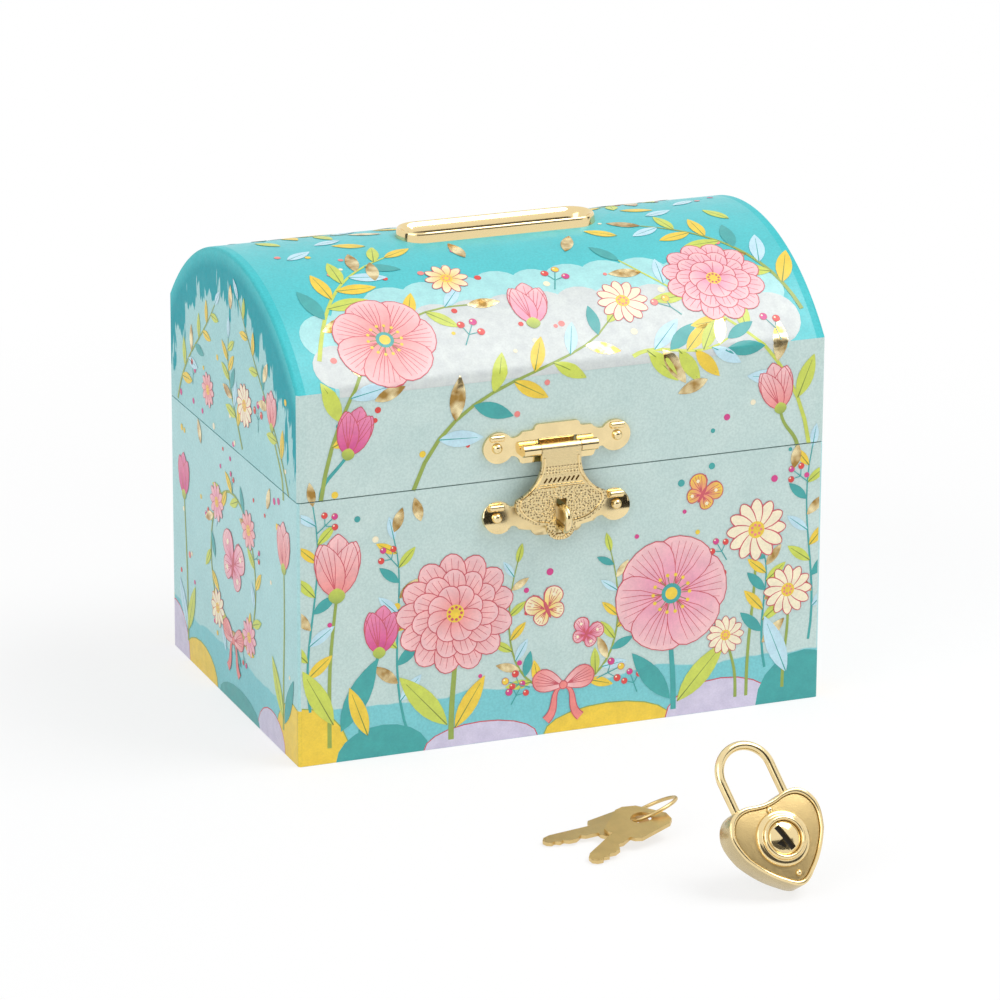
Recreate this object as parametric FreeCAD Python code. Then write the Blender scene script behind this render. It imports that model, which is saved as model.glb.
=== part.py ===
import FreeCAD, Part
import math
import os
from FreeCAD import Vector as V

# Sizes in millimetres, +Z up, front face towards -Y, origin at the middle of the box's underside

# Box of paper-wrapped board
box_width = 140.0
box_depth = 96.0
base_height = 68.0
lid_wall = 27.4
dome_rise = 22.6
board = 2.4
edge_round = 0.8
seam_gap = 0.3
lining = 0.6
fit = 0.05

# Storage bay on the left, stage over the music works on the right
storage_width = 82.0
divider_board = 1.6
stage_top = 58.6
stage_board = 1.6

# Cloth hinge strip and ribbon stay
strip_height = 18.0
strip_thick = 0.3
strip_margin = 3.0
lid_open = 100.0
stay_y = 14.0
stay_low = 7.0
stay_high = 7.0
stay_width = 6.0
stay_thick = 0.4
stay_tail = 6.0

# Slot and its brass ferrule on the crown of the lid
slot_length = 47.8
slot_width = 6.8
slot_x = 0.5
bead_r = 1.3
bead_sink = 0.35
throat_wall = 0.8
throat_drop = 1.0
back_ring = 2.6
back_thick = 0.8

# Hasp
hasp_x = -2.5
plate_w = 39.0
plate_h = 9.6
plate_t = 0.9
upper_rise = 8.6
lower_drop = 9.3
axis_rise = 7.6
window_low = 0.2
window_high = 2.3
barrel_gap = 0.2
knuckle_r = 1.5
knuckle_len = 4.4
knuckle_gap = 0.2
pin_r = 0.75
leaf_barrel = 10.4
leaf_w = 23.8
leaf_len = 23.4
leaf_t = 0.9
leaf_out = 0.4
staple_drop = 9.7
staple_span = 5.5
staple_r = 0.9
staple_reach = 8.6
staple_root = 1.4
slot_side = 0.45
slot_end = 0.9
rivet_x = 15.9
rivet_head = 1.35
rivet_r = 0.7
rivet_grip = 2.0

# Winding arbor, key and spring barrel
arbor_z = 18.0
arbor_r = 2.0
bush_r = 3.2
bush_flange = 5.0
bush_rim = 0.8
key_stand = 1.2
key_shank = 3.0
key_shank_len = 7.0
key_lobe = 6.2
key_eye = 2.7
key_thick = 1.8
barrel_r = 12.0
barrel_len = 15.0
barrel_wall = 1.2
barrel_web = 1.6
barrel_gap_y = 1.0
crown_teeth = 24
crown_module = 0.8
crown_face = 2.4
pinion_teeth = 12
stub = 0.7
spring_turns = 5
spring_thick = 0.35

# Bedplate and bridges
bed_t = 2.0
bed_left = 22.0
bed_right = 23.0
bed_front = 34.0
bridge_t = 1.6
top_bridge_z = 53.0
low_bridge_z = 24.0
post_r = 3.0
pivot_r = 0.8
pivot_deep = 3.0

# Pinned cylinder and comb
wheel_arbor = 1.0
pinion_collar = 0.6
pinion_slack = 0.4
pivot_end = 0.2
drum_r = 6.4
drum_z0 = 31.0
drum_z1 = 46.0
pin_out = 0.5
pin_dot = 0.28
pin_root = 0.4
drum_pins = 48
comb_teeth = 16
comb_t = 0.8
comb_gap = 0.3
comb_tine = 7.4
comb_slit = 0.25
comb_heel = 7.2
screw_r = 0.9
screw_head = 1.7
screw_head_t = 0.9
screw_deep = 1.8

# Governor train
train_module = 0.5
wheel_teeth = 36
leaf_teeth = 10
wheel_t = 1.5
train_slack = 0.3
leaf_lead = 0.2
wheel1_z = 47.0
wheel2_z = 50.0
idler_turn = -60.0
fan_turn = 20.0
fan_r = 7.2
fan_z0 = 30.0
fan_z1 = 43.5
fan_t = 0.5
fan_hub = 0.8
brake_r = 6.0
brake_z = 44.6
brake_t = 1.0

# Stop plunger
plunger_r = 1.0
plunger_off = 4.3
pad_r = 1.6
pad_t = 1.2
pad_gap = 0.25
plunger_gap = 0.3
striker_x = 9.0
striker_y = 8.0
striker_z = 5.0

# Turntable and dancer
table_r = 9.0
table_t = 2.0
table_gap = 0.4
coil_r = 2.0
coil_wire = 0.35
coil_turns = 4
coil_pitch = 1.2
figure_h = 39.0
tutu_r = 11.0
tutu_t = 1.2
tutu_droop = 0.8
tutu_hole = 2.0

# Heart padlock, standing on its tip in front of the box
lock_x = 10.2
lock_y = -167.0
lock_lean = 14.2
lock_tilt = 32.6
lock_w = 24.0
lock_h = 21.8
lock_t = 7.4
rim_w = 1.2
recess = 1.2
face_t = 0.7
plug_q = 11.7
collar_r = 6.5
collar_t = 0.9
ring_r = 5.2
ring_t = 1.9
plug_r = 4.05
plug_deep = 3.6
keyway_w = 1.5
keyway_h = 6.4
plug_set = 15.0
plug_gap = 0.1
plug_sink = 0.5
keyway_end = 0.7
wedge_deep = 0.6
keyway_wedge = ((0, 0.05), (-0.65, 0.05), (-0.4, -0.5))
lock_rivet = 0.8
lock_rivet_r = 0.6
lock_rivet_deep = 1.5
low_rivet_gap = 2.2
shackle_half = 6.65
shackle_r = 1.1
shackle_rise = 8.7
long_leg = 10.5
short_leg = 4.2
shackle_fit = 0.1
shackle_end = 0.3
neck_drop = 1.4

# Two keys on a wire ring, in front of the box
ring_c = (-4.6, -113.7)
ring_heading = -45.0
loop_r = 6.9
loop_wire = 0.45
loop_tilt = 27.6
floor_gap = 0.05
key_t = 0.9
key_hole = 2.6
key_len = 22.5
key_bow_w = 7.6
front_key_z = 4.0
rear_key_z = 2.2
key_tip_z = 0.6
front_key_turn = 216.0
rear_key_turn = 181.6

half_w, half_d = box_width / 2, box_depth / 2
in_w, in_d = half_w - board, half_d - board
lid_z = base_height + seam_gap
crease_z = base_height + lid_wall
apex_z = crease_z + dome_rise
dome_r = (half_d**2 + dome_rise**2) / (2 * dome_rise)
dome_cz = apex_z - dome_r
divider_x = storage_width - in_w
bay_x0 = divider_x + divider_board
bay_x = (bay_x0 + in_w) / 2
deck_z = stage_top - stage_board
felt_top = stage_top + lining
front = -half_d

parts = {}


def block(x0, x1, y0, y1, z0, z1):
    return Part.makeBox(x1 - x0, y1 - y0, z1 - z0, V(x0, y0, z0))


def rod(r, p, q):
    a, b = V(*p), V(*q)
    return Part.makeCylinder(r, (b - a).Length, a, b - a)


def pillar(r, x, y, z0, z1):
    return Part.makeCylinder(r, z1 - z0, V(x, y, z0))


def prism(points, along):
    return Part.Face(Part.makePolygon(points + points[:1])).extrude(along)


def fused(first, *rest):
    return first.fuse(list(rest)).removeSplitter() if rest else first


def edges_on(shape, test):
    return [e for e in shape.Edges if all(test(v.Point) for v in e.Vertexes)]


def mirrored_plate(start, steps, cx, y, zc, sx, sz, thick):
    """Plate whose outline runs from a top middle point to a bottom middle point, the same on both sides."""
    edges = []
    for side in (1, -1):
        at = start
        for step in steps:
            spots = [V(cx + side * sx * a, y, zc + sz * b) for a, b in (at, step[:2], step[-2:])]
            if len(step) == 2:
                edges.append(Part.makeLine(spots[0], spots[2]))
            else:
                edges.append(Part.Arc(*spots).toShape())
            at = step[-2:]
    wire = Part.Wire(Part.__sortEdges__(edges))
    return Part.Face(wire).extrude(V(0, -thick, 0))


def stadium(length, width, z0, z1):
    s, r = (length - width) / 2, width / 2
    a, b = slot_x - s, slot_x + s
    wire = Part.Wire(
        [
            Part.makeLine(V(a, -r, z0), V(b, -r, z0)),
            Part.Arc(V(b, -r, z0), V(b + r, 0, z0), V(b, r, z0)).toShape(),
            Part.makeLine(V(b, r, z0), V(a, r, z0)),
            Part.Arc(V(a, r, z0), V(a - r, 0, z0), V(a, -r, z0)).toShape(),
        ]
    )
    return Part.Face(wire).extrude(V(0, 0, z1 - z0))


def lid_space(x0, x1, inset, z0):
    """Everything under the lid's outline drawn in by inset, between two planes across the box."""
    hy, r = half_d - inset, dome_r - inset
    zs = dome_cz + math.sqrt(r * r - hy * hy)
    a, b, c, d = V(x0, -hy, z0), V(x0, -hy, zs), V(x0, hy, zs), V(x0, hy, z0)
    arch = Part.Arc(b, V(x0, 0, dome_cz + r), c).toShape()
    wire = Part.Wire([Part.makeLine(a, b), arch, Part.makeLine(c, d), Part.makeLine(d, a)])
    return Part.Face(wire).extrude(V(x1 - x0, 0, 0))


def rivet(x, y, z, head, shank, grip):
    """Domed head on the face at y, with its shank into what lies behind."""
    outer_half = block(x - head, x + head, y - head, y, z - head, z + head)
    dome = Part.makeSphere(head, V(x, y, z)).common(outer_half)
    return fused(dome, rod(shank, (x, y, z), (x, y + grip, z)))


def gear_outline(teeth, module, slack):
    """Points of a stub-toothed spur wheel, with a tooth on the +X axis."""
    pitch_r, press = teeth * module / 2, math.radians(30)
    base_r = pitch_r * math.cos(press)
    root_r, tip_r = pitch_r - module, pitch_r + stub * module
    half = (math.pi * module / 2 - slack) / 2 / pitch_r
    inv = math.tan(press) - press
    low_r = max(base_r, root_r)
    flank = [(root_r, half + inv)] if root_r < base_r else []
    for k in range(5):
        r = low_r + (tip_r - low_r) * k / 4
        turn = math.acos(min(1.0, base_r / r))
        flank.append((r, half + inv - math.tan(turn) + turn))
    points = []
    for n in range(teeth):
        mid = 2 * math.pi * n / teeth
        points += [(r, mid - a) for r, a in flank] + [(r, mid + a) for r, a in reversed(flank)]
    return [(r * math.cos(a), r * math.sin(a)) for r, a in points]


def gear(teeth, module, cx, cy, z0, z1, turn, slack):
    c, s = math.cos(turn), math.sin(turn)
    flat = gear_outline(teeth, module, slack)
    return prism([V(cx + c * x - s * y, cy + s * x + c * y, z0) for x, y in flat], V(0, 0, z1 - z0))


def arc_from(a, way, b):
    """Arc that leaves a along way and ends at b."""
    chord = b - a
    along = chord * (1 / chord.Length)
    side = way - along * way.dot(along)
    if side.Length < 1e-9:
        return Part.makeLine(a, b)
    turn = math.acos(max(-1.0, min(1.0, way.dot(along))))
    mid = a + chord * 0.5 + side * (chord.Length / 2 * math.tan(turn / 2) / side.Length)
    return Part.Arc(a, mid, b).toShape()


def swept_tube(points, ways, r):
    """Round tube along points joined by pairs of tangent arcs."""
    edges = []
    for a, b, t, u in zip(points, points[1:], ways, ways[1:]):
        v, both, spread = b - a, t + u, 2 * (1 - t.dot(u))
        d = (-v.dot(both) + math.sqrt(v.dot(both) ** 2 + spread * v.dot(v))) / spread
        join = (a + b + (t - u) * d) * 0.5
        first = arc_from(a, t, join)
        back = arc_from(b, u * -1, join)
        mid = back.valueAt((back.FirstParameter + back.LastParameter) / 2)
        edges += [first, Part.Arc(join, mid, b).toShape()]
    ring = Part.Wire(Part.makeCircle(r, points[0], ways[0]))
    return Part.Wire(edges).makePipeShell([ring], True, False)


def base_box():
    """Floor, four walls, divider and stage board of the base."""
    for side, name in ((-1, "left_wall"), (1, "right_wall")):
        x0, x1 = sorted((side * half_w, side * in_w))
        wall = block(x0, x1, -half_d, half_d, 0, base_height)
        soft = min(edge_round, 0.45 * board)
        ring = edges_on(wall, lambda p: abs(p.x - side * half_w) < 1e-6)
        upright = [e for e in ring if abs(e.Vertexes[0].Z - e.Vertexes[1].Z) > 1]
        parts[name] = wall.makeFillet(soft, upright)
    parts["floor_board"] = block(-in_w, in_w, -in_d, in_d, 0, board)
    parts["front_wall"] = block(-in_w, in_w, -half_d, -in_d, 0, base_height)
    parts["back_wall"] = block(-in_w, in_w, in_d, half_d, 0, base_height)
    parts["divider_board"] = block(divider_x, bay_x0, -in_d, in_d, board, stage_top)
    parts["stage_board"] = block(bay_x0, in_w, -in_d, in_d, deck_z, stage_top)
    parts["stage_felt"] = block(bay_x0, in_w, -in_d, in_d, stage_top, felt_top)
    x0, z0 = -in_w, board
    sheets = [
        block(x0, divider_x, -in_d, in_d, z0, z0 + lining),
        block(x0, x0 + lining, -in_d, in_d, z0, base_height),
        block(x0, divider_x, -in_d, lining - in_d, z0, base_height),
        block(x0, divider_x, in_d - lining, in_d, z0, base_height),
        block(divider_x - lining, divider_x, -in_d, in_d, z0, stage_top),
    ]
    parts["storage_lining"] = fused(*sheets)


def lid_shell():
    """Two straight strips, the bent crown board, two arched ends and the lining."""
    shell = lid_space(-in_w, in_w, 0, lid_z).cut(lid_space(-half_w, half_w, board, lid_z - 1))
    below, above = crease_z, apex_z + 1
    parts["lid_front_strip"] = shell.common(block(-half_w, half_w, -half_d, 0, lid_z, below))
    parts["lid_back_strip"] = shell.common(block(-half_w, half_w, 0, half_d, lid_z, below))
    parts["lid_crown"] = shell.common(block(-half_w, half_w, -half_d, half_d, below, above))
    for side, name in ((-1, "lid_end_left"), (1, "lid_end_right")):
        end = lid_space(*sorted((side * half_w, side * in_w)), 0, lid_z)
        ring = edges_on(end, lambda p: abs(p.x - side * half_w) < 1e-6)
        rim = [e for e in ring if max(v.Z for v in e.Vertexes) > lid_z + 1e-6]
        parts[name] = end.makeFillet(min(edge_round, 0.45 * board), rim)
    skin = lid_space(-in_w, in_w, board, lid_z)
    parts["lid_lining"] = skin.cut(lid_space(lining - in_w, in_w - lining, board + lining, lid_z - 1))


def slot_ferrule():
    """Rolled brass ferrule round the slot, with a throat through the lid and a ring behind it."""
    reach, wide = (slot_length - slot_width) / 2, slot_width / 2 + bead_r
    z = apex_z + bead_r - bead_sink
    bead = [rod(bead_r, (slot_x - reach, s * wide, z), (slot_x + reach, s * wide, z)) for s in (-1, 1)]
    for s, turn in ((1, -90), (-1, 90)):
        bend = Part.makeTorus(wide, bead_r, V(0, 0, 0), V(0, 0, 1), 0, 360, 180)
        bend.rotate(V(0, 0, 0), V(0, 0, 1), turn)
        bend.translate(V(slot_x + s * reach, 0, z))
        bead.append(bend)
    crown = lid_space(-half_w, half_w, 0, lid_z)
    bead = fused(*bead).cut(crown)
    foot = apex_z - board - lining - back_thick - throat_drop
    outer = (slot_length + 2 * throat_wall, slot_width + 2 * throat_wall)
    throat = stadium(*outer, foot, z).cut(stadium(slot_length, slot_width, foot - 1, z + 1))
    parts["slot_ferrule"] = fused(bead, throat)
    hole = stadium(outer[0] + 2 * fit, outer[1] + 2 * fit, foot - 1, apex_z + 5)
    for name in ("lid_crown", "lid_lining"):
        parts[name] = parts[name].cut(hole)
    inside = board + lining
    hollow = lid_space(-half_w, half_w, inside + back_thick, lid_z - 1)
    leaf = lid_space(-in_w, in_w, inside, lid_z).cut(hollow)
    rim = stadium(outer[0] + 2 * back_ring, outer[1] + 2 * back_ring, foot - 1, apex_z)
    parts["slot_back_ring"] = leaf.common(rim).cut(hole)


def stay_path():
    """Middle line of the ribbon stay with the lid shut, pulled straight when the lid is open."""
    open_turn = math.radians(lid_open)
    low, high = base_height - stay_low, base_height + stay_high
    h = (half_d, base_height)
    a = (stay_y - h[0], low - h[1])
    b = (stay_y - h[0], high - h[1])
    c, s = math.cos(open_turn), math.sin(open_turn)
    b_open = (b[0] * c + b[1] * s, -b[0] * s + b[1] * c)
    way = (b_open[0] - a[0], b_open[1] - a[1])
    line = []
    for k in range(13):
        w = k / 12
        z = a[1] + w * (b[1] - a[1])
        m, n = 1 - w + w * c, w * s
        # The blended point lies on the taut line: cross product with the line's way is nought
        y = (way[0] * (m * z - a[1]) - way[1] * (n * z - a[0])) / (way[1] * m + way[0] * n)
        line.append((y + h[0], z + h[1]))
    return line


def cloth_hinge():
    """Cloth strip over the back seam, and the ribbon that stops the lid."""
    x, half = half_w - strip_margin, strip_height / 2
    parts["hinge_strip"] = block(-x, x, half_d, half_d + strip_thick, base_height - half, base_height + half)
    line = stay_path()
    line = [(line[0][0], line[0][1] - stay_tail)] + line + [(line[-1][0], line[-1][1] + stay_tail)]
    left, right = [], []
    for k, (y, z) in enumerate(line):
        p, q = line[max(0, k - 1)], line[min(len(line) - 1, k + 1)]
        run = math.hypot(q[0] - p[0], q[1] - p[1])
        ny, nz = -(q[1] - p[1]) / run * stay_width / 2, (q[0] - p[0]) / run * stay_width / 2
        left.append(V(lining - in_w, y + ny, z + nz))
        right.append(V(lining - in_w, y - ny, z - nz))
    parts["stay_ribbon"] = prism(left + right[::-1], V(stay_thick, 0, 0))


# Hasp outlines, drawn at these widths and heights from the top middle down one side
plate_drawn, leaf_drawn = (39.0, 9.6), (23.8, 23.9)
upper_steps = [(4.8, 5.0), (5.7, 4.7, 6.0, 3.9), (6.6, 3.6), (9.2, 3.5), (10.4, 2.5, 12.2, 2.3)]
upper_steps += [(16.6, 3.8, 19.5, 0), (16.6, -3.8, 12.2, -2.4), (10.8, -2.7, 9.8, -4.2)]
upper_steps += [(9.2, -4.6), (0, -4.6)]
lower_steps = [(9.6, 3.2), (10.6, 2.5, 12.2, 2.3), (16.6, 3.8, 19.5, 0), (16.6, -3.8, 12.2, -2.4)]
lower_steps += [(11.0, -2.6, 10.0, -3.6), (6.6, -4.2), (5.9, -5.4, 4.8, -5.7), (0, -6.0)]
leaf_steps = [(5.2, 0), (5.2, -3.5), (6.9, -8.4, 11.9, -12.3), (11.7, -15.4, 9.6, -17.6)]
leaf_steps += [(6.9, -19.2, 3.8, -19.7), (2.9, -22.8, 0, -23.9)]


def hasp():
    """Stamped brass plates on lid and base, the swinging leaf with its pin, and the staple."""
    sx, sz = plate_w / plate_drawn[0], plate_h / plate_drawn[1]
    axis_z = base_height + axis_rise
    axis_y = front - plate_t - barrel_gap - knuckle_r
    zu, zl = base_height + upper_rise, base_height - lower_drop
    upper = mirrored_plate((0, 5.0), upper_steps, hasp_x, front, zu, sx, sz, plate_t)
    half = leaf_barrel / 2
    sill, head = axis_z + window_low, axis_z + window_high
    upper = upper.cut(block(hasp_x - half, hasp_x + half, front - 2 * plate_t, front, sill, head))
    knuckles = []
    for side in (-1, 1):
        a = hasp_x + side * (half + knuckle_gap)
        b = a + side * knuckle_len
        x0, x1 = sorted((a, b))
        knuckles.append(rod(knuckle_r, (x0, axis_y, axis_z), (x1, axis_y, axis_z)))
        knuckles.append(block(x0, x1, axis_y, front - plate_t / 2, axis_z - knuckle_r, axis_z))
    reach = half + knuckle_gap + knuckle_len
    ends = (hasp_x - reach, axis_y, axis_z), (hasp_x + reach, axis_y, axis_z)
    parts["hasp_pin"] = rod(pin_r, *ends)
    upper = fused(upper, *knuckles).cut(rod(pin_r, *ends))

    lower = mirrored_plate((0, 3.2), lower_steps, hasp_x, front, zl, sx, sz, plate_t)
    lx, lz = leaf_w / leaf_drawn[0], leaf_len / leaf_drawn[1]
    face_y = axis_y - leaf_out
    leaf = mirrored_plate((0, 0), leaf_steps, hasp_x, face_y, axis_z, lx, lz, leaf_t)
    roll = rod(knuckle_r, (hasp_x - half, axis_y, axis_z), (hasp_x + half, axis_y, axis_z))
    zs = base_height - staple_drop
    tall, wide = staple_span / 2 + staple_r + slot_end, staple_r + slot_side
    eye = block(hasp_x - wide, hasp_x + wide, face_y - 2 * leaf_t, face_y + leaf_t, zs - tall, zs + tall)
    bore = rod(pin_r + fit, (ends[0][0] - 1, axis_y, axis_z), (ends[1][0] + 1, axis_y, axis_z))
    parts["hasp_leaf"] = fused(leaf, roll).cut(eye).cut(bore)

    bend = staple_span / 2
    nose = front - plate_t - staple_reach + staple_r + bend
    root = front + staple_root
    legs = [rod(staple_r, (hasp_x, root, zs + s * bend), (hasp_x, nose, zs + s * bend)) for s in (-1, 1)]
    loop = Part.makeTorus(bend, staple_r, V(0, 0, 0), V(1, 0, 0), 0, 360, 360)
    loop.translate(V(hasp_x, nose, zs))
    r = bend + staple_r + 1
    loop = loop.common(block(hasp_x - r, hasp_x + r, nose - r, nose, zs - r, zs + r))
    parts["hasp_staple"] = fused(loop, *legs)
    for s in (-1, 1):
        z = zs + s * bend
        hole = rod(staple_r + fit, (hasp_x, front - 2 * plate_t, z), (hasp_x, root, z))
        lower = lower.cut(hole)
        parts["front_wall"] = parts["front_wall"].cut(hole)

    for name, z, plate, host in (("upper", zu, upper, "lid_front_strip"), ("lower", zl, lower, "front_wall")):
        heads = []
        for side in (-1, 1):
            x = hasp_x + side * rivet_x * sx
            heads.append(rivet(x, front - plate_t, z, rivet_head, rivet_r, plate_t + rivet_grip))
            hole = rod(rivet_r + fit, (x, front - 2 * plate_t, z), (x, front + rivet_grip, z))
            plate = plate.cut(hole)
            parts[host] = parts[host].cut(hole)
        parts["hasp_%s_plate" % name] = plate
        parts["hasp_%s_rivets" % name] = Part.makeCompound(heads)


bed_y = in_d - bed_t
drum_x = bay_x
crown_r = crown_teeth * crown_module / 2
barrel_y1 = bed_y - barrel_gap_y
barrel_y0 = barrel_y1 - barrel_len
crown_y = barrel_y0 - crown_module
drum_y = crown_y - pinion_teeth * crown_module / 2
pinion_z = arbor_z + crown_r
centre = train_module * (wheel_teeth + leaf_teeth) / 2
idler_a, fan_a = math.radians(idler_turn), math.radians(fan_turn)
idler_x, idler_y = drum_x + centre * math.cos(idler_a), drum_y + centre * math.sin(idler_a)
fan_x, fan_y = idler_x + centre * math.cos(fan_a), idler_y + centre * math.sin(fan_a)
plunger_x, plunger_y = fan_x + plunger_off, fan_y


def winding_gear():
    """Arbor through the back wall with its butterfly key, the bush round it and the spring barrel on it."""
    x, z = drum_x, arbor_z
    tip = half_d + bush_rim + key_stand + key_shank_len
    parts["winding_arbor"] = rod(arbor_r, (x, barrel_y0 - 0.4, z), (x, tip - 1.0, z))
    flange = rod(bush_flange, (x, half_d, z), (x, half_d + bush_rim, z))
    tube = rod(bush_r, (x, in_d, z), (x, half_d, z)).fuse(flange)
    parts["winding_bush"] = tube.cut(rod(arbor_r + fit, (x, in_d - 1, z), (x, tip, z))).removeSplitter()
    parts["back_wall"] = parts["back_wall"].cut(rod(bush_r, (x, in_d - 1, z), (x, half_d + 1, z)))
    y0 = half_d + bush_rim + key_stand
    shank = rod(key_shank, (x, y0, z), (x, tip, z))
    lobes = []
    for s in (-1, 1):
        cx, cy = x + s * key_lobe * 0.92, tip + key_lobe * 0.55
        lobe = rod(key_lobe, (cx, cy, z - key_thick / 2), (cx, cy, z + key_thick / 2))
        lobes.append(lobe.cut(rod(key_eye, (cx, cy, z - key_thick), (cx, cy, z + key_thick))))
    wings = fused(*lobes)
    key = fused(wings, shank).cut(rod(arbor_r, (x, y0 - 1, z), (x, tip - 1.0, z)))
    parts["winding_key"] = key

    drum = rod(barrel_r, (x, barrel_y0, z), (x, barrel_y1, z))
    hollow = rod(barrel_r - barrel_wall, (x, barrel_y0 + barrel_web, z), (x, barrel_y1 + 1, z))
    drum = drum.cut(hollow).cut(rod(arbor_r + fit, (x, barrel_y0 - 1, z), (x, barrel_y1, z)))
    pitch = math.pi * crown_module
    deep, tall = crown_module, stub * crown_module
    lean = math.tan(math.radians(30))
    mid = pitch / 2 - 0.8 * crown_module
    r0, r1 = crown_r - crown_face / 2, crown_r + crown_face / 2
    teeth = []
    for k in range(crown_teeth):
        foot, tip_w = mid / 2 + deep * lean, max(0.1, mid / 2 - tall * lean)
        y_foot, y_tip = crown_y + deep + 0.2, crown_y - tall
        section = [(-foot, y_foot), (foot, y_foot), (tip_w, y_tip), (-tip_w, y_tip)]
        tooth = prism([V(a, b, r0) for a, b in section], V(0, 0, r1 - r0))
        tooth.rotate(V(0, 0, 0), V(0, 1, 0), (k + 0.5) * 360.0 / crown_teeth)
        tooth.translate(V(x, 0, z))
        teeth.append(tooth)
    parts["spring_barrel"] = drum.fuse(teeth).removeSplitter()

    inner, outer = arbor_r + 0.6, barrel_r - barrel_wall - 0.1
    count = spring_turns * 24
    strip = []
    for edge in (0, spring_thick):
        row = []
        for k in range(count + 1):
            r = inner + (outer - inner - spring_thick) * k / count + edge
            a = 2 * math.pi * k / 24
            row.append(V(x + r * math.cos(a), barrel_y0 + barrel_web + 0.3, z + r * math.sin(a)))
        strip.append(row)
    parts["mainspring"] = prism(strip[0] + strip[1][::-1], V(0, barrel_len - barrel_web - 0.9, 0))


def movement_frame():
    """Cast bedplate with its bearing post and comb lug, two bridges and the screws."""
    x0, x1 = drum_x - bed_left, drum_x + bed_right
    foot_top = board + bed_t
    lug_x = x0 + comb_heel - 0.7
    lug_y = drum_y + comb_t / 2
    bed = fused(
        block(x0, x1, bed_y, in_d, board, top_bridge_z + bridge_t),
        block(x0, x1, in_d - bed_front, bed_y, board, foot_top),
        pillar(post_r, drum_x, drum_y, foot_top, low_bridge_z),
        block(x0, lug_x, lug_y, bed_y, drum_z0, drum_z1),
    )
    bed = bed.cut(rod(arbor_r + fit, (drum_x, bed_y - 1, arbor_z), (drum_x, in_d + 1, arbor_z)))
    bed = bed.cut(pillar(pivot_r + fit, drum_x, drum_y, low_bridge_z - pivot_deep, low_bridge_z))
    screws = []
    spots = [(x0 + 3.5, in_d - bed_front + 4), (x1 - 3.5, in_d - bed_front + 4), (x1 - 3.5, bed_y - 5)]
    for sx, sy in spots:
        shank = pillar(screw_r, sx, sy, board - screw_deep, foot_top)
        screws.append(fused(pillar(screw_head, sx, sy, foot_top, foot_top + screw_head_t), shank))
        hole = pillar(screw_r + fit, sx, sy, board - screw_deep, foot_top + 1)
        bed = bed.cut(hole)
        parts["floor_board"] = parts["floor_board"].cut(hole)

    tip_x = drum_x - drum_r - pin_out - comb_gap
    heel_x = tip_x - comb_tine
    comb = block(x0, tip_x, lug_y - comb_t, lug_y, drum_z0, drum_z1)
    pitch = (drum_z1 - drum_z0) / comb_teeth
    slits = []
    for k in range(1, comb_teeth):
        z = drum_z0 + k * pitch
        low, high = z - comb_slit / 2, z + comb_slit / 2
        slits.append(block(heel_x, tip_x + 1, lug_y - 2 * comb_t, lug_y + comb_t, low, high))
    comb = comb.cut(slits)
    for z in (drum_z0 + 3.0, drum_z1 - 3.0):
        sx = (x0 + lug_x) / 2
        top = lug_y - comb_t
        head = rod(screw_head, (sx, top - screw_head_t, z), (sx, top, z))
        screws.append(fused(head, rod(screw_r, (sx, top, z), (sx, lug_y + screw_deep, z))))
        hole = rod(screw_r + fit, (sx, top - 1, z), (sx, lug_y + screw_deep, z))
        comb, bed = comb.cut(hole), bed.cut(hole)
    parts["comb"] = comb
    parts["movement_bedplate"] = bed
    parts["movement_screws"] = Part.makeCompound(screws)

    y0 = min(idler_y, fan_y) - 4.0
    inner = drum_x + post_r + 1.2
    step_y, step_x = crown_y - 1.8, drum_x + barrel_r + 0.7
    edge = [(inner, y0), (x1, y0), (x1, bed_y), (step_x, bed_y), (step_x, step_y), (inner, step_y)]
    low = prism([V(a, b, low_bridge_z) for a, b in edge], V(0, 0, bridge_t))
    top = block(drum_x - 6, x1, y0, bed_y, top_bridge_z, top_bridge_z + bridge_t)
    for px, py in ((idler_x, idler_y), (fan_x, fan_y)):
        hole = pillar(pivot_r + fit, px, py, low_bridge_z - 1, top_bridge_z + bridge_t + 1)
        low, top = low.cut(hole), top.cut(hole)
    top = top.cut(pillar(wheel_arbor + fit, drum_x, drum_y, top_bridge_z - 1, top_bridge_z + bridge_t + 1))
    way = pillar(plunger_r + fit, plunger_x, plunger_y, top_bridge_z - 1, felt_top + 1)
    parts["top_bridge"] = top.cut(way)
    parts["low_bridge"] = low
    spindle = pillar(wheel_arbor + 4 * fit, drum_x, drum_y, deck_z - 1, felt_top + 1)
    for name in ("stage_board", "stage_felt"):
        parts[name] = parts[name].cut(way).cut(spindle)


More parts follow.
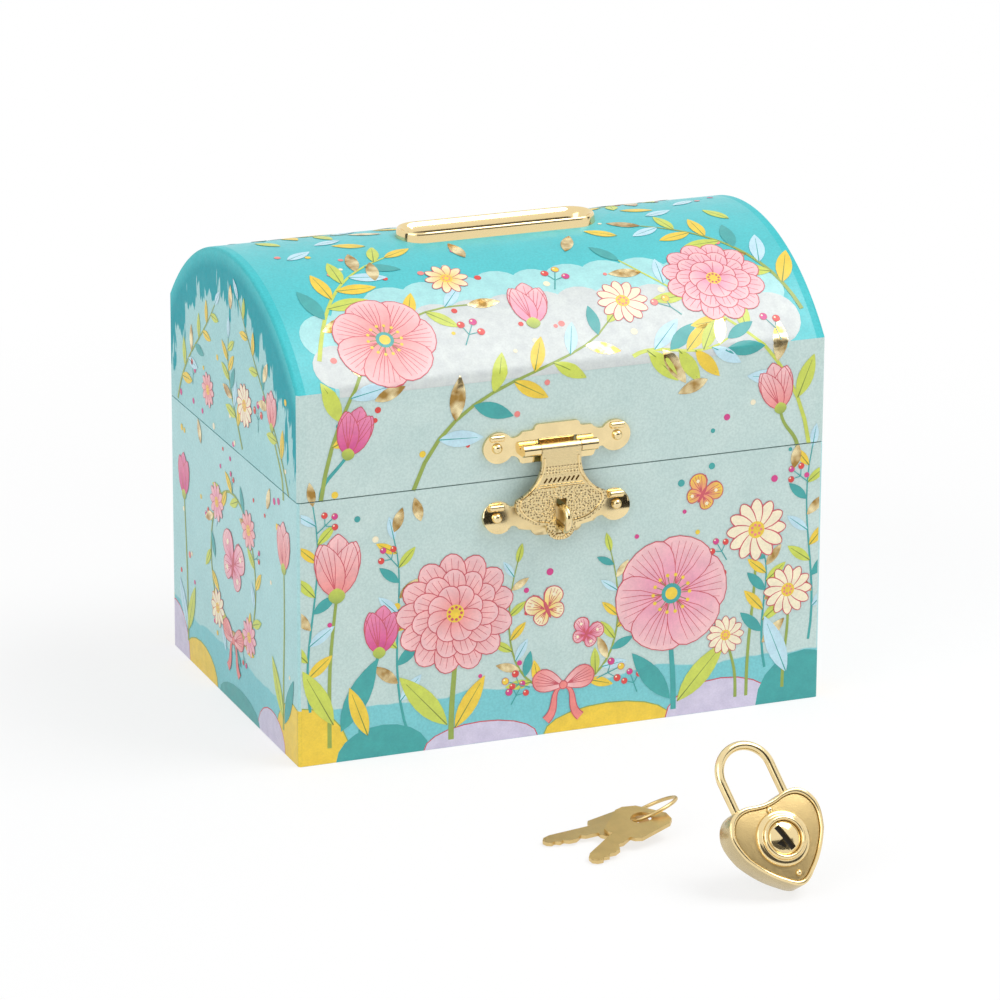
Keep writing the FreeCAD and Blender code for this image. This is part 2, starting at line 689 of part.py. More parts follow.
def cylinder_train():
    """Pinned cylinder on its arbor, which also carries the turntable, then the two steps up to the fan."""
    toe = felt_top + table_gap + table_t
    low, high = pinion_z - crown_face / 2, pinion_z + crown_face / 2
    shoulder = low - pinion_collar
    arbor = pillar(pivot_r, drum_x, drum_y, low_bridge_z - pivot_deep + pivot_end, shoulder)
    stem = pillar(wheel_arbor, drum_x, drum_y, shoulder, toe)
    slack = pinion_slack * crown_module
    leaves = gear(pinion_teeth, crown_module, drum_x, drum_y, low, high, math.pi / 2, slack)
    parts["cylinder_arbor"] = fused(stem, arbor, leaves)
    core = pillar(wheel_arbor, drum_x, drum_y, drum_z0 - 1, toe + 1)
    drum = pillar(drum_r, drum_x, drum_y, drum_z0, drum_z1)
    dots, pitch = [], (drum_z1 - drum_z0) / comb_teeth
    for k in range(drum_pins):
        z = drum_z0 + (k * 7 % comb_teeth + 0.5) * pitch
        a = 2 * math.pi * ((k * 11 % drum_pins) + 0.5) / drum_pins
        r0, r1 = drum_r - pin_root, drum_r + pin_out
        c, s = math.cos(a), math.sin(a)
        root, tip = [(drum_x + r * c, drum_y + r * s, z) for r in (r0, r1)]
        dots.append(rod(pin_dot, root, tip))
    parts["pin_cylinder"] = drum.fuse(dots).cut(core)
    slack = train_slack * train_module
    wheel = gear(wheel_teeth, train_module, drum_x, drum_y, wheel1_z, wheel1_z + wheel_t, idler_a, slack)
    parts["cylinder_wheel"] = wheel.cut(core)

    foot, head = low_bridge_z, top_bridge_z + bridge_t
    low, high = wheel1_z - leaf_lead, wheel1_z + wheel_t + leaf_lead
    turn = idler_a + math.pi + math.pi / leaf_teeth
    leaves = gear(leaf_teeth, train_module, idler_x, idler_y, low, high, turn, slack)
    shaft = pillar(pivot_r, idler_x, idler_y, foot, head)
    parts["idler_arbor"] = fused(shaft, leaves)
    wheel = gear(wheel_teeth, train_module, idler_x, idler_y, wheel2_z, wheel2_z + wheel_t, fan_a, slack)
    parts["idler_wheel"] = wheel.cut(shaft)

    low, high = wheel2_z - leaf_lead, wheel2_z + wheel_t + leaf_lead
    turn = fan_a + math.pi + math.pi / leaf_teeth
    leaves = gear(leaf_teeth, train_module, fan_x, fan_y, low, high, turn, slack)
    shaft = pillar(pivot_r, fan_x, fan_y, foot, head)
    disc = pillar(brake_r, fan_x, fan_y, brake_z, brake_z + brake_t)
    parts["fan_arbor"] = fused(shaft, leaves, disc)
    hub = pillar(pivot_r + fan_hub, fan_x, fan_y, fan_z0, fan_z1)
    vane = block(fan_x - fan_r, fan_x + fan_r, fan_y - fan_t / 2, fan_y + fan_t / 2, fan_z0, fan_z1)
    parts["fan"] = fused(hub, vane).cut(shaft)


def stop_plunger():
    """Rod that the lid holds down on the fan's brake disc, and the block in the lid that presses it."""
    z0 = brake_z + brake_t + pad_gap
    pad = pillar(pad_r, plunger_x, plunger_y, z0, z0 + pad_t)
    stem = pillar(plunger_r, plunger_x, plunger_y, z0, lid_z - plunger_gap)
    parts["stop_plunger"] = fused(pad, stem)
    x1 = in_w - lining
    y0 = plunger_y - striker_y / 2
    parts["lid_striker"] = block(x1 - striker_x, x1, y0, y0 + striker_y, lid_z, lid_z + striker_z)


# Dancer's figure, drawn at this height: turned body, balls, and limbs with a radius at each joint
figure_drawn, waist_z = 39.0, 16.4
body_turned = [(0, 0), (1.6, 0), (1.6, 0.8), (0.7, 1.2), (0.8, 2.6), (1.3, 6.5), (1.1, 9.0), (1.7, 13.0)]
body_turned += [(2.5, 15.6), (2.7, 16.6), (1.7, 20.2), (2.3, 24.2), (2.5, 26.2), (1.0, 27.6)]
body_turned += [(0.85, 29.2), (0, 29.2)]
head_ball, hair_bun = ((0, -0.2, 31.2), 2.5), ((0, 1.1, 34.0), 1.2)
raised_arm = [(2.0, 0, 26.0, 0.85), (5.4, -0.8, 28.6, 0.75), (5.3, -1.0, 33.0, 0.6), (1.3, -1.2, 38.0, 0.4)]
raised_leg = [(1.0, -0.4, 15.0, 1.6), (6.4, -2.0, 12.6, 1.1), (0.9, -0.9, 7.6, 0.55)]


def dancer():
    """Turntable, coil spring, and a small figure on one toe with arms raised over a net skirt."""
    z0 = felt_top + table_gap
    toe = z0 + table_t
    disc = pillar(table_r, drum_x, drum_y, z0, toe)
    parts["turntable"] = disc.cut(pillar(wheel_arbor, drum_x, drum_y, z0 - 1, toe + 1))

    steps = coil_turns * 4
    rise = coil_pitch / (2 * math.pi)
    points, ways = [], []
    for k in range(steps + 1):
        a = k * math.pi / 2
        across = V(coil_r * math.cos(a), coil_r * math.sin(a), rise * a)
        points.append(V(drum_x, drum_y, toe + coil_wire) + across)
        way = V(-coil_r * math.sin(a), coil_r * math.cos(a), rise)
        ways.append(way * (1 / way.Length))
    parts["dancer_spring"] = swept_tube(points, ways, coil_wire)
    gap = coil_pitch * math.cos(math.atan2(rise, coil_r)) - 2 * coil_wire
    print("spring gap to itself %.2f mm" % gap)

    sole = toe + 2 * coil_wire + coil_turns * coil_pitch
    u = figure_h / figure_drawn

    def at(x, y, z):
        return V(drum_x + x * u, drum_y + y * u, sole + z * u)

    outline = Part.Face(Part.makePolygon([at(r, 0, z) for r, z in body_turned + body_turned[:1]]))
    figure = [outline.revolve(V(drum_x, drum_y, 0), V(0, 0, 1), 360)]
    for centre_at, r in (head_ball, hair_bun):
        figure.append(Part.makeSphere(r * u, at(*centre_at)))
    limbs = [raised_leg] + [[(s * x, y, z, r) for x, y, z, r in raised_arm] for s in (-1, 1)]
    for limb in limbs:
        for start, end in zip(limb, limb[1:]):
            p, q = at(*start[:3]), at(*end[:3])
            figure.append(Part.makeCone(start[3] * u, end[3] * u, (q - p).Length, p, q - p))
            figure.append(Part.makeSphere(end[3] * u, q))
    whole = fused(*figure)
    waist = waist_z * u + sole
    rim, droop = tutu_r - tutu_t, -tutu_droop
    ring = [(tutu_hole, 0.75 * tutu_t), (rim * 0.55, 0.4 * tutu_t), (rim, droop)]
    ring += [(tutu_r, droop - tutu_t * 0.4), (rim, droop - tutu_t), (rim * 0.5, -1.2 * tutu_t)]
    ring += [(tutu_hole, -tutu_t)]
    skirt = Part.Face(Part.makePolygon([V(drum_x + r, drum_y, waist + z) for r, z in ring + ring[:1]]))
    parts["dancer_tutu"] = skirt.revolve(V(drum_x, drum_y, 0), V(0, 0, 1), 360).cut(whole)
    parts["dancer_figure"] = whole


# Heart outline, drawn at this width and height from its dip round one lobe to its tip
heart_w, heart_h, heart_dip = 24.0, 21.8, 20.9
heart_steps = [(2.1, 21.05, 4.2, 21.5), (9.0, 21.1, 11.75, 17.5), (11.9, 14.4, 10.7, 10.25)]
heart_steps += [(7.5, 5.6, 3.65, 1.95), (1.7, 0.5, 0, 0)]


def heart(inset, y, thick):
    """Heart plate, drawn in by inset all round from the case's outline."""
    sx, sz = (lock_w - 2 * inset) / heart_w, (lock_h - 2 * inset) / heart_h
    return mirrored_plate((0, heart_dip), heart_steps, 0, y, inset, sx, sz, thick)


def padlock():
    """Case, face with its stepped collar, plug, rivets and shackle, built upright, then set on its tip."""
    half = lock_t / 2
    case = heart(0, half, lock_t).cut(heart(rim_w, recess - half, 2 * recess))
    floor_y = recess - half
    face = heart(rim_w + fit, floor_y, face_t)
    y_face = floor_y - face_t
    collar = rod(collar_r, (0, y_face, plug_q), (0, y_face - collar_t, plug_q))
    ring = rod(ring_r, (0, y_face, plug_q), (0, y_face - ring_t, plug_q))
    bore = rod(plug_r + fit, (0, floor_y + plug_deep, plug_q), (0, y_face - ring_t - 1, plug_q))
    face = fused(face, collar, ring).cut(bore)
    case = case.cut(bore)
    y_nose = y_face - ring_t + plug_sink
    y_back = floor_y + plug_deep - plug_gap
    plug = rod(plug_r, (0, y_back, plug_q), (0, y_nose, plug_q))
    x, z = keyway_w / 2, keyway_h / 2
    slit = block(-x, x, y_nose - 1, y_back - keyway_end, plug_q - z, plug_q + z)
    wedge = [V(u * plug_r, y_nose - 1, plug_q + v * plug_r) for u, v in keyway_wedge]
    plug = plug.cut(slit).cut(prism(wedge, V(0, 1 + wedge_deep, 0)))
    plug.rotate(V(0, 0, plug_q), V(0, 1, 0), -plug_set)
    parts["padlock_plug"] = plug

    heads = []
    dip_q = rim_w + heart_dip * (lock_h - 2 * rim_w) / heart_h
    for q in (plug_q - collar_r - low_rivet_gap, (plug_q + collar_r + dip_q) / 2):
        heads.append(rivet(0, y_face, q, lock_rivet, lock_rivet_r, face_t + lock_rivet_deep))
        hole = rod(lock_rivet_r + fit, (0, y_face - 2 * face_t, q), (0, floor_y + lock_rivet_deep, q))
        face, case = face.cut(hole), case.cut(hole)
    parts["padlock_rivets"] = Part.makeCompound(heads)
    parts["padlock_face"] = face

    neck = lock_h - neck_drop
    bend_z = neck + shackle_rise
    bow = Part.makeTorus(shackle_half, shackle_r, V(0, 0, 0), V(0, 1, 0), 0, 360, 360)
    bow.translate(V(0, 0, bend_z))
    r = shackle_half + shackle_r + 1
    bow = bow.common(block(-r, r, -r, r, bend_z, bend_z + r))
    legs = []
    for s, deep in ((-1, long_leg), (1, short_leg)):
        legs.append(rod(shackle_r, (s * shackle_half, 0, neck - deep), (s * shackle_half, 0, bend_z)))
        x, end = s * shackle_half, neck - deep - shackle_end
        case = case.cut(pillar(shackle_r + shackle_fit, x, 0, end, bend_z))
    parts["padlock_shackle"] = fused(bow, *legs)
    parts["padlock_case"] = case

    names = ["padlock_case", "padlock_face", "padlock_plug", "padlock_rivets", "padlock_shackle"]
    for name in names:
        shape = parts[name]
        shape.rotate(V(0, 0, 0), V(0, 1, 0), -lock_lean)
        shape.rotate(V(0, 0, 0), V(1, 0, 0), -lock_tilt)
    low = min(p.z for p in parts["padlock_case"].tessellate(0.02)[0])
    for name in names:
        parts[name].translate(V(lock_x, lock_y, -low))
    print("padlock raised by %.4f mm" % -low)


def ring_point(turn):
    """Point of the wire ring's middle line, from its lowest point."""
    h, t = math.radians(ring_heading), math.radians(loop_tilt)
    up = V(math.cos(h) * math.cos(t), math.sin(h) * math.cos(t), math.sin(t))
    across = V(-math.sin(h), math.cos(h), 0)
    mid = V(ring_c[0], ring_c[1], loop_r * math.sin(t) + loop_wire + floor_gap)
    return mid, up, across, mid + across * (loop_r * math.sin(turn)) - up * (loop_r * math.cos(turn))


# Key outline, drawn at this length and half width, from its bow's far end round to its notched edge
key_drawn, bow_drawn = 22.5, 7.6
key_flat = [(4.5, -4.2), (4.5, 4.2), (2.6, 6.9), (0.6, 7.6), (-8.4, 5.3), (-9.2, 3.8), (-9.2, 2.5)]
key_flat += [(-19.8, 2.3), (-21.7, 1.5), (-22.5, 0.1), (-22.2, -1.3), (-21.2, -2.2), (-20.2, -1.7)]
key_flat += [(-19.2, -2.7), (-18.1, -2.1), (-17.0, -3.1), (-15.2, -3.2), (-14.2, -2.4), (-13.4, -1.6)]
key_flat += [(-12.4, -2.4), (-9.2, -2.4), (-9.2, -3.8)]
key_flat += [(-8.4, -5.3), (0.6, -7.6), (2.6, -6.9)]


def key_blank():
    """Stamped key with its bow's hole at the origin and its tip towards -X."""
    sx, sy = key_len / key_drawn, key_bow_w / bow_drawn
    plate = prism([V(sx * x, sy * y, -key_t / 2) for x, y in key_flat], V(0, 0, key_t))
    return plate.cut(Part.makeCylinder(key_hole, 2 * key_t, V(0, 0, -key_t)))


def keys_on_ring():
    """The wire ring leans on the floor, the keys hang on it by their bows with their tips on the floor."""
    mid, up, across, low = ring_point(0)
    loop = Part.makeTorus(loop_r, loop_wire, mid, across.cross(up))
    parts["key_ring"] = loop
    pair = (("front_key", front_key_z, front_key_turn), ("rear_key", rear_key_z, rear_key_turn))
    for name, z, heading in pair:
        turn = -math.acos((mid.z - z) / (loop_r * math.sin(math.radians(loop_tilt))))
        hole = ring_point(turn)[3]
        dip = math.degrees(math.asin((z - key_tip_z) / key_len))
        key = key_blank()
        key.rotate(V(0, 0, 0), V(0, 1, 0), -dip)
        key.rotate(V(0, 0, 0), V(0, 0, 1), heading - 180)
        key.translate(hole)
        parts[name] = key
        print("%s hole at %.3f %.3f %.3f" % (name, hole.x, hole.y, hole.z))


base_box()
lid_shell()
slot_ferrule()
cloth_hinge()
hasp()
winding_gear()
movement_frame()
cylinder_train()
stop_plunger()
dancer()
padlock()
keys_on_ring()

os.makedirs("parts", exist_ok=True)
for name, shape in parts.items():
    shape.exportStep("parts/%s.step" % name)
    if not shape.isValid():
        print("not valid:", name)
print(len(parts), "nodes")
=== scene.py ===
import math
import random

import bmesh
import bpy
from mathutils import Color, Matrix, Vector
from mathutils.geometry import interpolate_bezier


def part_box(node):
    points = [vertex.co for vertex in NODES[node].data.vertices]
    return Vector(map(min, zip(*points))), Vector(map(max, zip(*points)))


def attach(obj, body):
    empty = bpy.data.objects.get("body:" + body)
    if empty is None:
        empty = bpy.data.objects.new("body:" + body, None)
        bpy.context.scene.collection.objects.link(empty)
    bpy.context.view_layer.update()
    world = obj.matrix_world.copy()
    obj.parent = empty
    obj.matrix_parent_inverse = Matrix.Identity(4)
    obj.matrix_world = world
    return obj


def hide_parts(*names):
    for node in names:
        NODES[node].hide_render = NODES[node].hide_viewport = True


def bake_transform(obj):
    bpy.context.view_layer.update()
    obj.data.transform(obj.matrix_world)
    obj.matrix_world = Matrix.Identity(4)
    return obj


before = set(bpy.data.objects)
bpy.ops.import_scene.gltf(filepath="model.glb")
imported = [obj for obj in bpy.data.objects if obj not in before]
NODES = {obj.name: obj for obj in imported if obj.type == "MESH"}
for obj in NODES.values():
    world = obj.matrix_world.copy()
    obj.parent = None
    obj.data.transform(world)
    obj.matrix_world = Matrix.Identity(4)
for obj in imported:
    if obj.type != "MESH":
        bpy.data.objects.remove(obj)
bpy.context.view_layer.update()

bl_info = {
    "name": "Music Jewellery Box",
    "version": (1, 0, 0),
    "blender": (4, 5, 0),
    "location": "3D View > Sidebar > Jewellery Box",
    "description": "Printed paper, brass fittings, linings and dancer of a music jewellery box",
    "category": "Object",
}

MM = 0.001

# Box measures from the frame, in millimetres
HALF_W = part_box("right_wall")[1].x / MM
HALF_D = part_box("back_wall")[1].y / MM
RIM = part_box("front_wall")[1].z / MM
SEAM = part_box("lid_front_strip")[0].z / MM
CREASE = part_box("lid_crown")[0].z / MM
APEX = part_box("lid_crown")[1].z / MM
DOME_R = (HALF_D ** 2 + (APEX - CREASE) ** 2) / (2 * (APEX - CREASE))
DOME_Z = APEX - DOME_R
SPREAD = math.asin(HALF_D / DOME_R)
# Rows of the wrapped sheet, counted up the front, over the dome and down the back
CREST = CREASE + SPREAD * DOME_R
BACK_CREASE = CREASE + 2 * SPREAD * DOME_R
BACK_SEAM = BACK_CREASE + CREASE - SEAM
BACK_RIM = BACK_CREASE + CREASE - RIM
# Lift of one ink layer, and of each shape over the one drawn before it in the same motif
INK_STEP = 0.016
INK_SKIN = 0.0008
# Round of the box's upright corners, and how near the print comes to the foot
CORNER = 0.8
FOOT_TRIM = 0.05
# Hills at the left and the right corners
LEFT_HILL = 14.6
RIGHT_HILL = 12.6
# Flat facets of the dome
FACETS = 64
# Place of the winding key across the back
WIND_X = 41.8
# Height of the hasp's pin, and the fronts of its leaf and of its plates
HASP_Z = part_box("hasp_pin")[0].z / MM + 0.75
LEAF_FACE = -51.9
PLATE_FACE = -48.9
# Padlock: place of its tip, how it leans and tilts, and its plug's height above the tip
PADLOCK_TIP = (10.2, -167.0, 2.0235)
PADLOCK_LEAN = math.radians(-14.2)
PADLOCK_TILT = math.radians(-32.6)
PLUG_UP = 11.7
# Ribbon stay: middle of its width, half its width, its glued tails, and its reach from the rim
STAY_Y = 14.0
STAY_HALF = 3.0
STAY_TAIL = 6.0
STAY_REACH = 7.0
# Angle of the open lid, from which the ribbon's fold is worked out
LID_OPEN = math.radians(100)
# Stretch of the noise that draws scratches
SCRATCH = (1.0, 0.12, 0.5)
# Colours of the leaves, in the order in which sprigs take them
LEAVES = ("sun", "lime", "sky", "brass", "sea", "lime", "sun")
# Boughs on one side of the dome, as the four points of a bend
BOUGHS = (
    ((-64, 68), (-60, 96), (-44, 118), (-20, 116)), ((66, 68), (62, 96), (40, 104), (24, 126)),
    ((-40, 68), (-30, 98), (2, 92), (14, 106)), ((-62, 104), (-56, 122), (-48, 132), (-34, 138)),
    ((66, 104), (62, 122), (52, 134), (36, 141)), ((18, 96), (26, 100), (34, 92), (44, 98)),
)


def linear(code):
    """Scene colour of a six-figure screen colour."""
    return Color([int(code[k:k + 2], 16) / 255 for k in (0, 2, 4)]).from_srgb_to_scene_linear()


def ink_prop(name, description, code):
    return bpy.props.FloatVectorProperty(
        name=name, description=description, default=linear(code), size=3, min=0, max=1, subtype="COLOR"
    )


class BoxInks(bpy.types.PropertyGroup):
    """Colours of the print, the linings and the metal"""

    aqua: ink_prop("Pale aqua", "Ground of the walls and of the lid's front", "c6dcd8")
    side_aqua: ink_prop("Side aqua", "Ground of the ends of the box", "aedcdd")
    teal: ink_prop("Teal", "Ground of the dome", "4ac4ca")
    deep: ink_prop("Deep teal", "Shade on the ends of the lid", "12a3ae")
    lagoon: ink_prop("Lagoon", "Band along the foot of the walls", "7accd3")
    mist: ink_prop("Mist", "Clouds on the dome", "d3d9d7")
    foam: ink_prop("Foam", "Rim of the clouds", "a9e2e2")
    coral: ink_prop("Coral", "Large blossoms", "f28a85")
    blush: ink_prop("Blush", "Petal tips", "f9c9cb")
    rose: ink_prop("Rose", "Pink blossoms", "ee8fb4")
    magenta: ink_prop("Magenta", "Small blossoms and dots", "d83f8c")
    red: ink_prop("Red", "Berries", "e2453d")
    sun: ink_prop("Sun yellow", "Leaves, hills and flower hearts", "f4d13f")
    lime: ink_prop("Lime", "Leaves", "cdda58")
    olive: ink_prop("Olive", "Stems", "97ad4d")
    sky: ink_prop("Sky", "Pale leaves", "c3e6f3")
    sea: ink_prop("Sea green", "Dark leaves and stems", "3ea8a6")
    lilac: ink_prop("Lilac", "Hills", "d6cfe6")
    cream: ink_prop("Cream", "Dots and daisies", "fbf0cf")
    line: ink_prop("Petal line", "Fine lines on the petals", "cf5563")
    vein: ink_prop("Leaf line", "Fine lines on the leaves", "7c8f3a")
    brass: ink_prop("Brass", "Polished fittings", "f2dca8")
    satin: ink_prop("Satin brass", "Keys and works", "cfb57e")
    steel: ink_prop("Steel", "Works", "c3c6ca")
    velvet: ink_prop("Velvet", "Flocked lining", "ec9fb2")
    felt: ink_prop("Felt", "Cloth of the stage", "e6788f")
    tape: ink_prop("Tape", "Cloth hinge", "8fd0d3")
    satin_ribbon: ink_prop("Ribbon", "Stay ribbon", "f4b6c2")
    skin: ink_prop("Porcelain", "Dancer's skin", "f8dcc9")
    hair: ink_prop("Hair", "Dancer's hair", "6b4026")


def size_prop(name, description, default, low, high):
    return bpy.props.FloatProperty(name=name, description=description, default=default, min=low, max=high)


class BoxSizes(bpy.types.PropertyGroup):
    """Sizes of the print and of the small fittings, in millimetres"""

    foot_band: size_prop("Foot band", "Height of the band along the foot", 13.5, 0, 60)
    cloud_row: size_prop("Cloud row", "Row of the clouds, up the sheet", 120.0, 100, 145)
    fine_line: size_prop("Fine line", "Width of the lines on petals", 0.24, 0.1, 1)
    dot_size: size_prop("Dot", "Width of a scattered dot", 1.7, 0.3, 6)
    stipple: size_prop("Stipple", "Width of a raised point on the hasp", 0.62, 0.2, 2)
    net_frill: size_prop("Net frill", "Height of the waves in the skirt", 0.55, 0, 2)


def ink(name):
    return Vector(getattr(bpy.context.scene.box_inks, name))


def size(name):
    return getattr(bpy.context.scene.box_sizes, name)


class Nodes:
    """Short ways to add the nodes of a tree and to join them."""

    def __init__(self, tree):
        self.tree = tree

    def add(self, kind, wires=None, **settings):
        node = self.tree.nodes.new(kind)
        for key, value in settings.items():
            setattr(node, key, value)
        for key, value in (wires or {}).items():
            self.wire(value, node.inputs[key])
        return node

    def wire(self, value, socket):
        if isinstance(value, bpy.types.NodeSocket):
            self.tree.links.new(value, socket)
        else:
            socket.default_value = value

    def reach(self, value, low, high, start=0.0, end=1.0):
        wires = {"Value": value, "From Min": low, "From Max": high, "To Min": start, "To Max": end}
        return self.add("ShaderNodeMapRange", wires).outputs["Result"]

    def math(self, operation, a, b=0.0):
        return self.add("ShaderNodeMath", {0: a, 1: b}, operation=operation).outputs[0]

    def past(self, value, limit):
        return self.math("GREATER_THAN", value, limit)

    def both(self, a, b):
        return self.math("MULTIPLY", a, b)

    def either(self, a, b):
        return self.math("MAXIMUM", a, b)

    def seen(self):
        """1 for rays from the camera, in a reflection or through glass."""
        rays = self.add("ShaderNodeLightPath").outputs
        seen = self.either(rays["Is Camera Ray"], rays["Is Glossy Ray"])
        return self.either(seen, rays["Is Transmission Ray"])


class Finish(Nodes):
    """Node material of one finish; grains and depths are in millimetres."""

    def __init__(self, name, rough=0.5, metal=0.0, specular=0.5):
        self.material = bpy.data.materials.new(name)
        self.material.use_nodes = True
        super().__init__(self.material.node_tree)
        self.shader = self.tree.nodes["Principled BSDF"]
        self.set(Roughness=rough, Metallic=metal, Specular_IOR_Level=specular)
        self.place = self.add("ShaderNodeTexCoord").outputs["Object"]

    def set(self, **values):
        for key, value in values.items():
            self.wire(value, self.shader.inputs[key.replace("_", " ")])

    def noise(self, grain, detail=3.0, stretch=None):
        place = self.place
        if stretch:
            place = self.add("ShaderNodeMapping", {"Vector": place, "Scale": stretch}).outputs[0]
        wires = {"Vector": place, "Scale": 1 / (grain * MM), "Detail": detail}
        return self.add("ShaderNodeTexNoise", wires).outputs["Fac"]

    def drift(self, grain, detail=3.0, start=0.0, end=1.0, stretch=None):
        """Noise spread over its whole range."""
        return self.reach(self.noise(grain, detail, stretch), 0.3, 0.7, start, end)

    def cells(self, grain):
        wires = {"Vector": self.place, "Scale": 1 / (grain * MM)}
        return self.add("ShaderNodeTexVoronoi", wires).outputs["Distance"]

    def weave(self, gap, along):
        wires = {"Vector": self.place, "Scale": math.pi / (10 * gap * MM)}
        return self.add("ShaderNodeTexWave", wires, bands_direction=along).outputs["Fac"]

    def mix(self, share, a, b, blend="MIX"):
        a, b = [c if isinstance(c, bpy.types.NodeSocket) else (*c, 1.0) for c in (a, b)]
        wires = {0: share, 6: a, 7: b}
        return self.add("ShaderNodeMix", wires, data_type="RGBA", blend_type=blend).outputs[2]

    def tone(self, share, colour, low, high):
        """One colour, from a darker to a paler tone of it."""
        return self.mix(share, Vector(colour) * low, Vector(colour) * high)

    def axes(self):
        return self.add("ShaderNodeSeparateXYZ", {"Vector": self.place}).outputs

    def relief(self, height, depth):
        wires = {"Height": height, "Distance": depth * MM, "Strength": 1.0}
        self.wire(self.add("ShaderNodeBump", wires).outputs["Normal"], self.shader.inputs["Normal"])


def brushed(finish, colour):
    """Watercolour ground: pale and dark drifts with a fine dry-brush speckle."""
    fleck = finish.reach(finish.noise(0.55, 2.0), 0.35, 0.65)
    shade = finish.mix(finish.drift(9.0, 4.0), (0.93, 0.955, 0.96), (1.03, 1.02, 1.02))
    grain = finish.mix(fleck, (0.915, 0.935, 0.935), (1.06, 1.05, 1.05))
    colour = finish.mix(1.0, colour, shade, "MULTIPLY")
    return finish.mix(1.0, colour, grain, "MULTIPLY")


def laminated(finish, film=0.25):
    """Satin film over the print."""
    finish.set(Roughness=finish.drift(2.5, 3.0, 0.4, 0.5), Coat_Weight=film, Coat_Roughness=0.28)
    finish.relief(finish.noise(0.9, 2.0), 0.012)


def printed_ground(name, colour_of, film=0.25):
    finish = Finish(name, specular=2 * film)
    finish.set(Base_Color=brushed(finish, colour_of(finish)))
    laminated(finish, film)
    return finish.material


def wall_ground(finish):
    """Pale aqua over a band at the foot, hills that run on round the corners, and lining paper inside."""
    axes = finish.axes()
    beside, before = [finish.math("ABSOLUTE", axes[key]) for key in "XY"]
    right, back = [finish.past(axes[key], 0.0) for key in "XY"]
    waver = finish.drift(16.0, 2.0, -0.0012, 0.0012)
    height = finish.math("ADD", axes["Z"], waver)
    edge = size("foot_band") * MM
    ends = finish.past(beside, (HALF_W - 0.6) * MM)
    faces = finish.past(before, (HALF_D - 0.6) * MM)
    rim = finish.past(axes["Z"], (RIM - 0.4) * MM)
    ground = finish.mix(ends, ink("aqua"), ink("side_aqua"))
    ground = finish.mix(finish.reach(height, edge - 0.0002, edge + 0.0002), ink("lagoon"), ground)
    round_x = finish.past(beside, (HALF_W - CORNER - 0.02) * MM)
    round_y = finish.past(before, (HALF_D - CORNER - 0.02) * MM)
    crest = finish.reach(right, 0.0, 1.0, LEFT_HILL * MM, RIGHT_HILL * MM)
    corner = finish.both(finish.both(round_x, round_y), finish.math("LESS_THAN", axes["Z"], crest))
    hue = finish.mix(right, ink("sun"), finish.mix(back, ink("sea"), ink("lilac")))
    ground = finish.mix(corner, ground, hue)
    outside = finish.either(rim, finish.either(ends, faces))
    return finish.mix(outside, ink("velvet"), ground)


def end_ground(finish):
    """Deep teal arch over pale aqua, with a ragged brushed edge."""
    axes = finish.axes()
    rise = finish.math("SUBTRACT", axes["Z"], DOME_Z * MM)
    squares = [finish.math("POWER", value, 2.0) for value in (axes["Y"], rise)]
    radius = finish.math("SQRT", finish.math("ADD", *squares))
    ragged = finish.drift(4.0, 2.0, -0.006, 0.006, (1, 1.6, 0.35))
    arch = finish.reach(finish.math("ADD", radius, ragged), 0.0505, 0.0515)
    front = finish.math("LESS_THAN", finish.math("ABSOLUTE", axes["Y"]), (HALF_D - 0.7) * MM)
    above = finish.past(axes["Z"], CREASE * MM)
    arch = finish.both(arch, finish.either(front, above))
    top = finish.reach(radius, 0.0575, 0.0612)
    pale = finish.mix(front, ink("aqua"), ink("side_aqua"))
    return finish.mix(arch, pale, finish.mix(top, ink("deep"), ink("teal")))


def dress(finish, *names):
    for name in names:
        mesh = NODES[name].data
        mesh.materials.clear()
        mesh.materials.append(finish)


def piece(name, bm, finishes, body=None, sharp=40.0):
    """Finished object from a bmesh in metres, with its place in its mesh."""
    mesh = bpy.data.meshes.new(name)
    bm.to_mesh(mesh)
    bm.free()
    for finish in finishes:
        mesh.materials.append(finish)
    mesh.shade_smooth()
    mesh.set_sharp_from_angle(angle=math.radians(sharp))
    thing = bpy.data.objects.new(name, mesh)
    bpy.context.scene.collection.objects.link(thing)
    if body:
        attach(thing, body)
    return thing


def middle(node):
    low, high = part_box(node)
    return (low + high) / 2


def ease(t):
    """Smooth step from 0 to 1."""
    t = min(max(t, 0.0), 1.0)
    return t * t * (3 - 2 * t)


def bend(a, b, c, d, count=12):
    return interpolate_bezier(*[Vector((*p, 0)) for p in (a, b, c, d)], count)


def way(turn):
    return Vector((math.cos(math.radians(turn)), math.sin(math.radians(turn)), 0))


def aim(at, turn=0.0, reach=0.0):
    """Point of the artwork, moved a distance along a heading in degrees."""
    return Vector((at[0], at[1], 0)) + way(turn) * reach


def bearing(a, b):
    return math.degrees(math.atan2(b[1] - a[1], b[0] - a[0]))


def swell(bm, edges):
    """Extrude edges in place, and give the new vertices and the edges between them."""
    grown = bmesh.ops.extrude_edge_only(bm, edges=edges)["geom"]
    fresh = [g for g in grown if isinstance(g, bmesh.types.BMVert)]
    edges = [g for g in grown if isinstance(g, bmesh.types.BMEdge)]
    return fresh, [e for e in edges if all(v in fresh for v in e.verts)]


def slit(bm, co, no, dist, clear=False):
    """Cut every face along a plane, and clear what lies beyond it if asked."""
    every = bm.verts[:] + bm.edges[:] + bm.faces[:]
    bmesh.ops.bisect_plane(bm, geom=every, dist=dist, plane_co=co, plane_no=no, clear_outer=clear)


def soften(bm, edges, offset, segments):
    """Round edges off."""
    bmesh.ops.bevel(
        bm, geom=edges, offset=offset, offset_type="OFFSET", affect="EDGES", segments=segments, profile=0.5,
        material=-1,
    )


def carry(bm, matrix):
    bmesh.ops.transform(bm, matrix=matrix, verts=bm.verts[:])


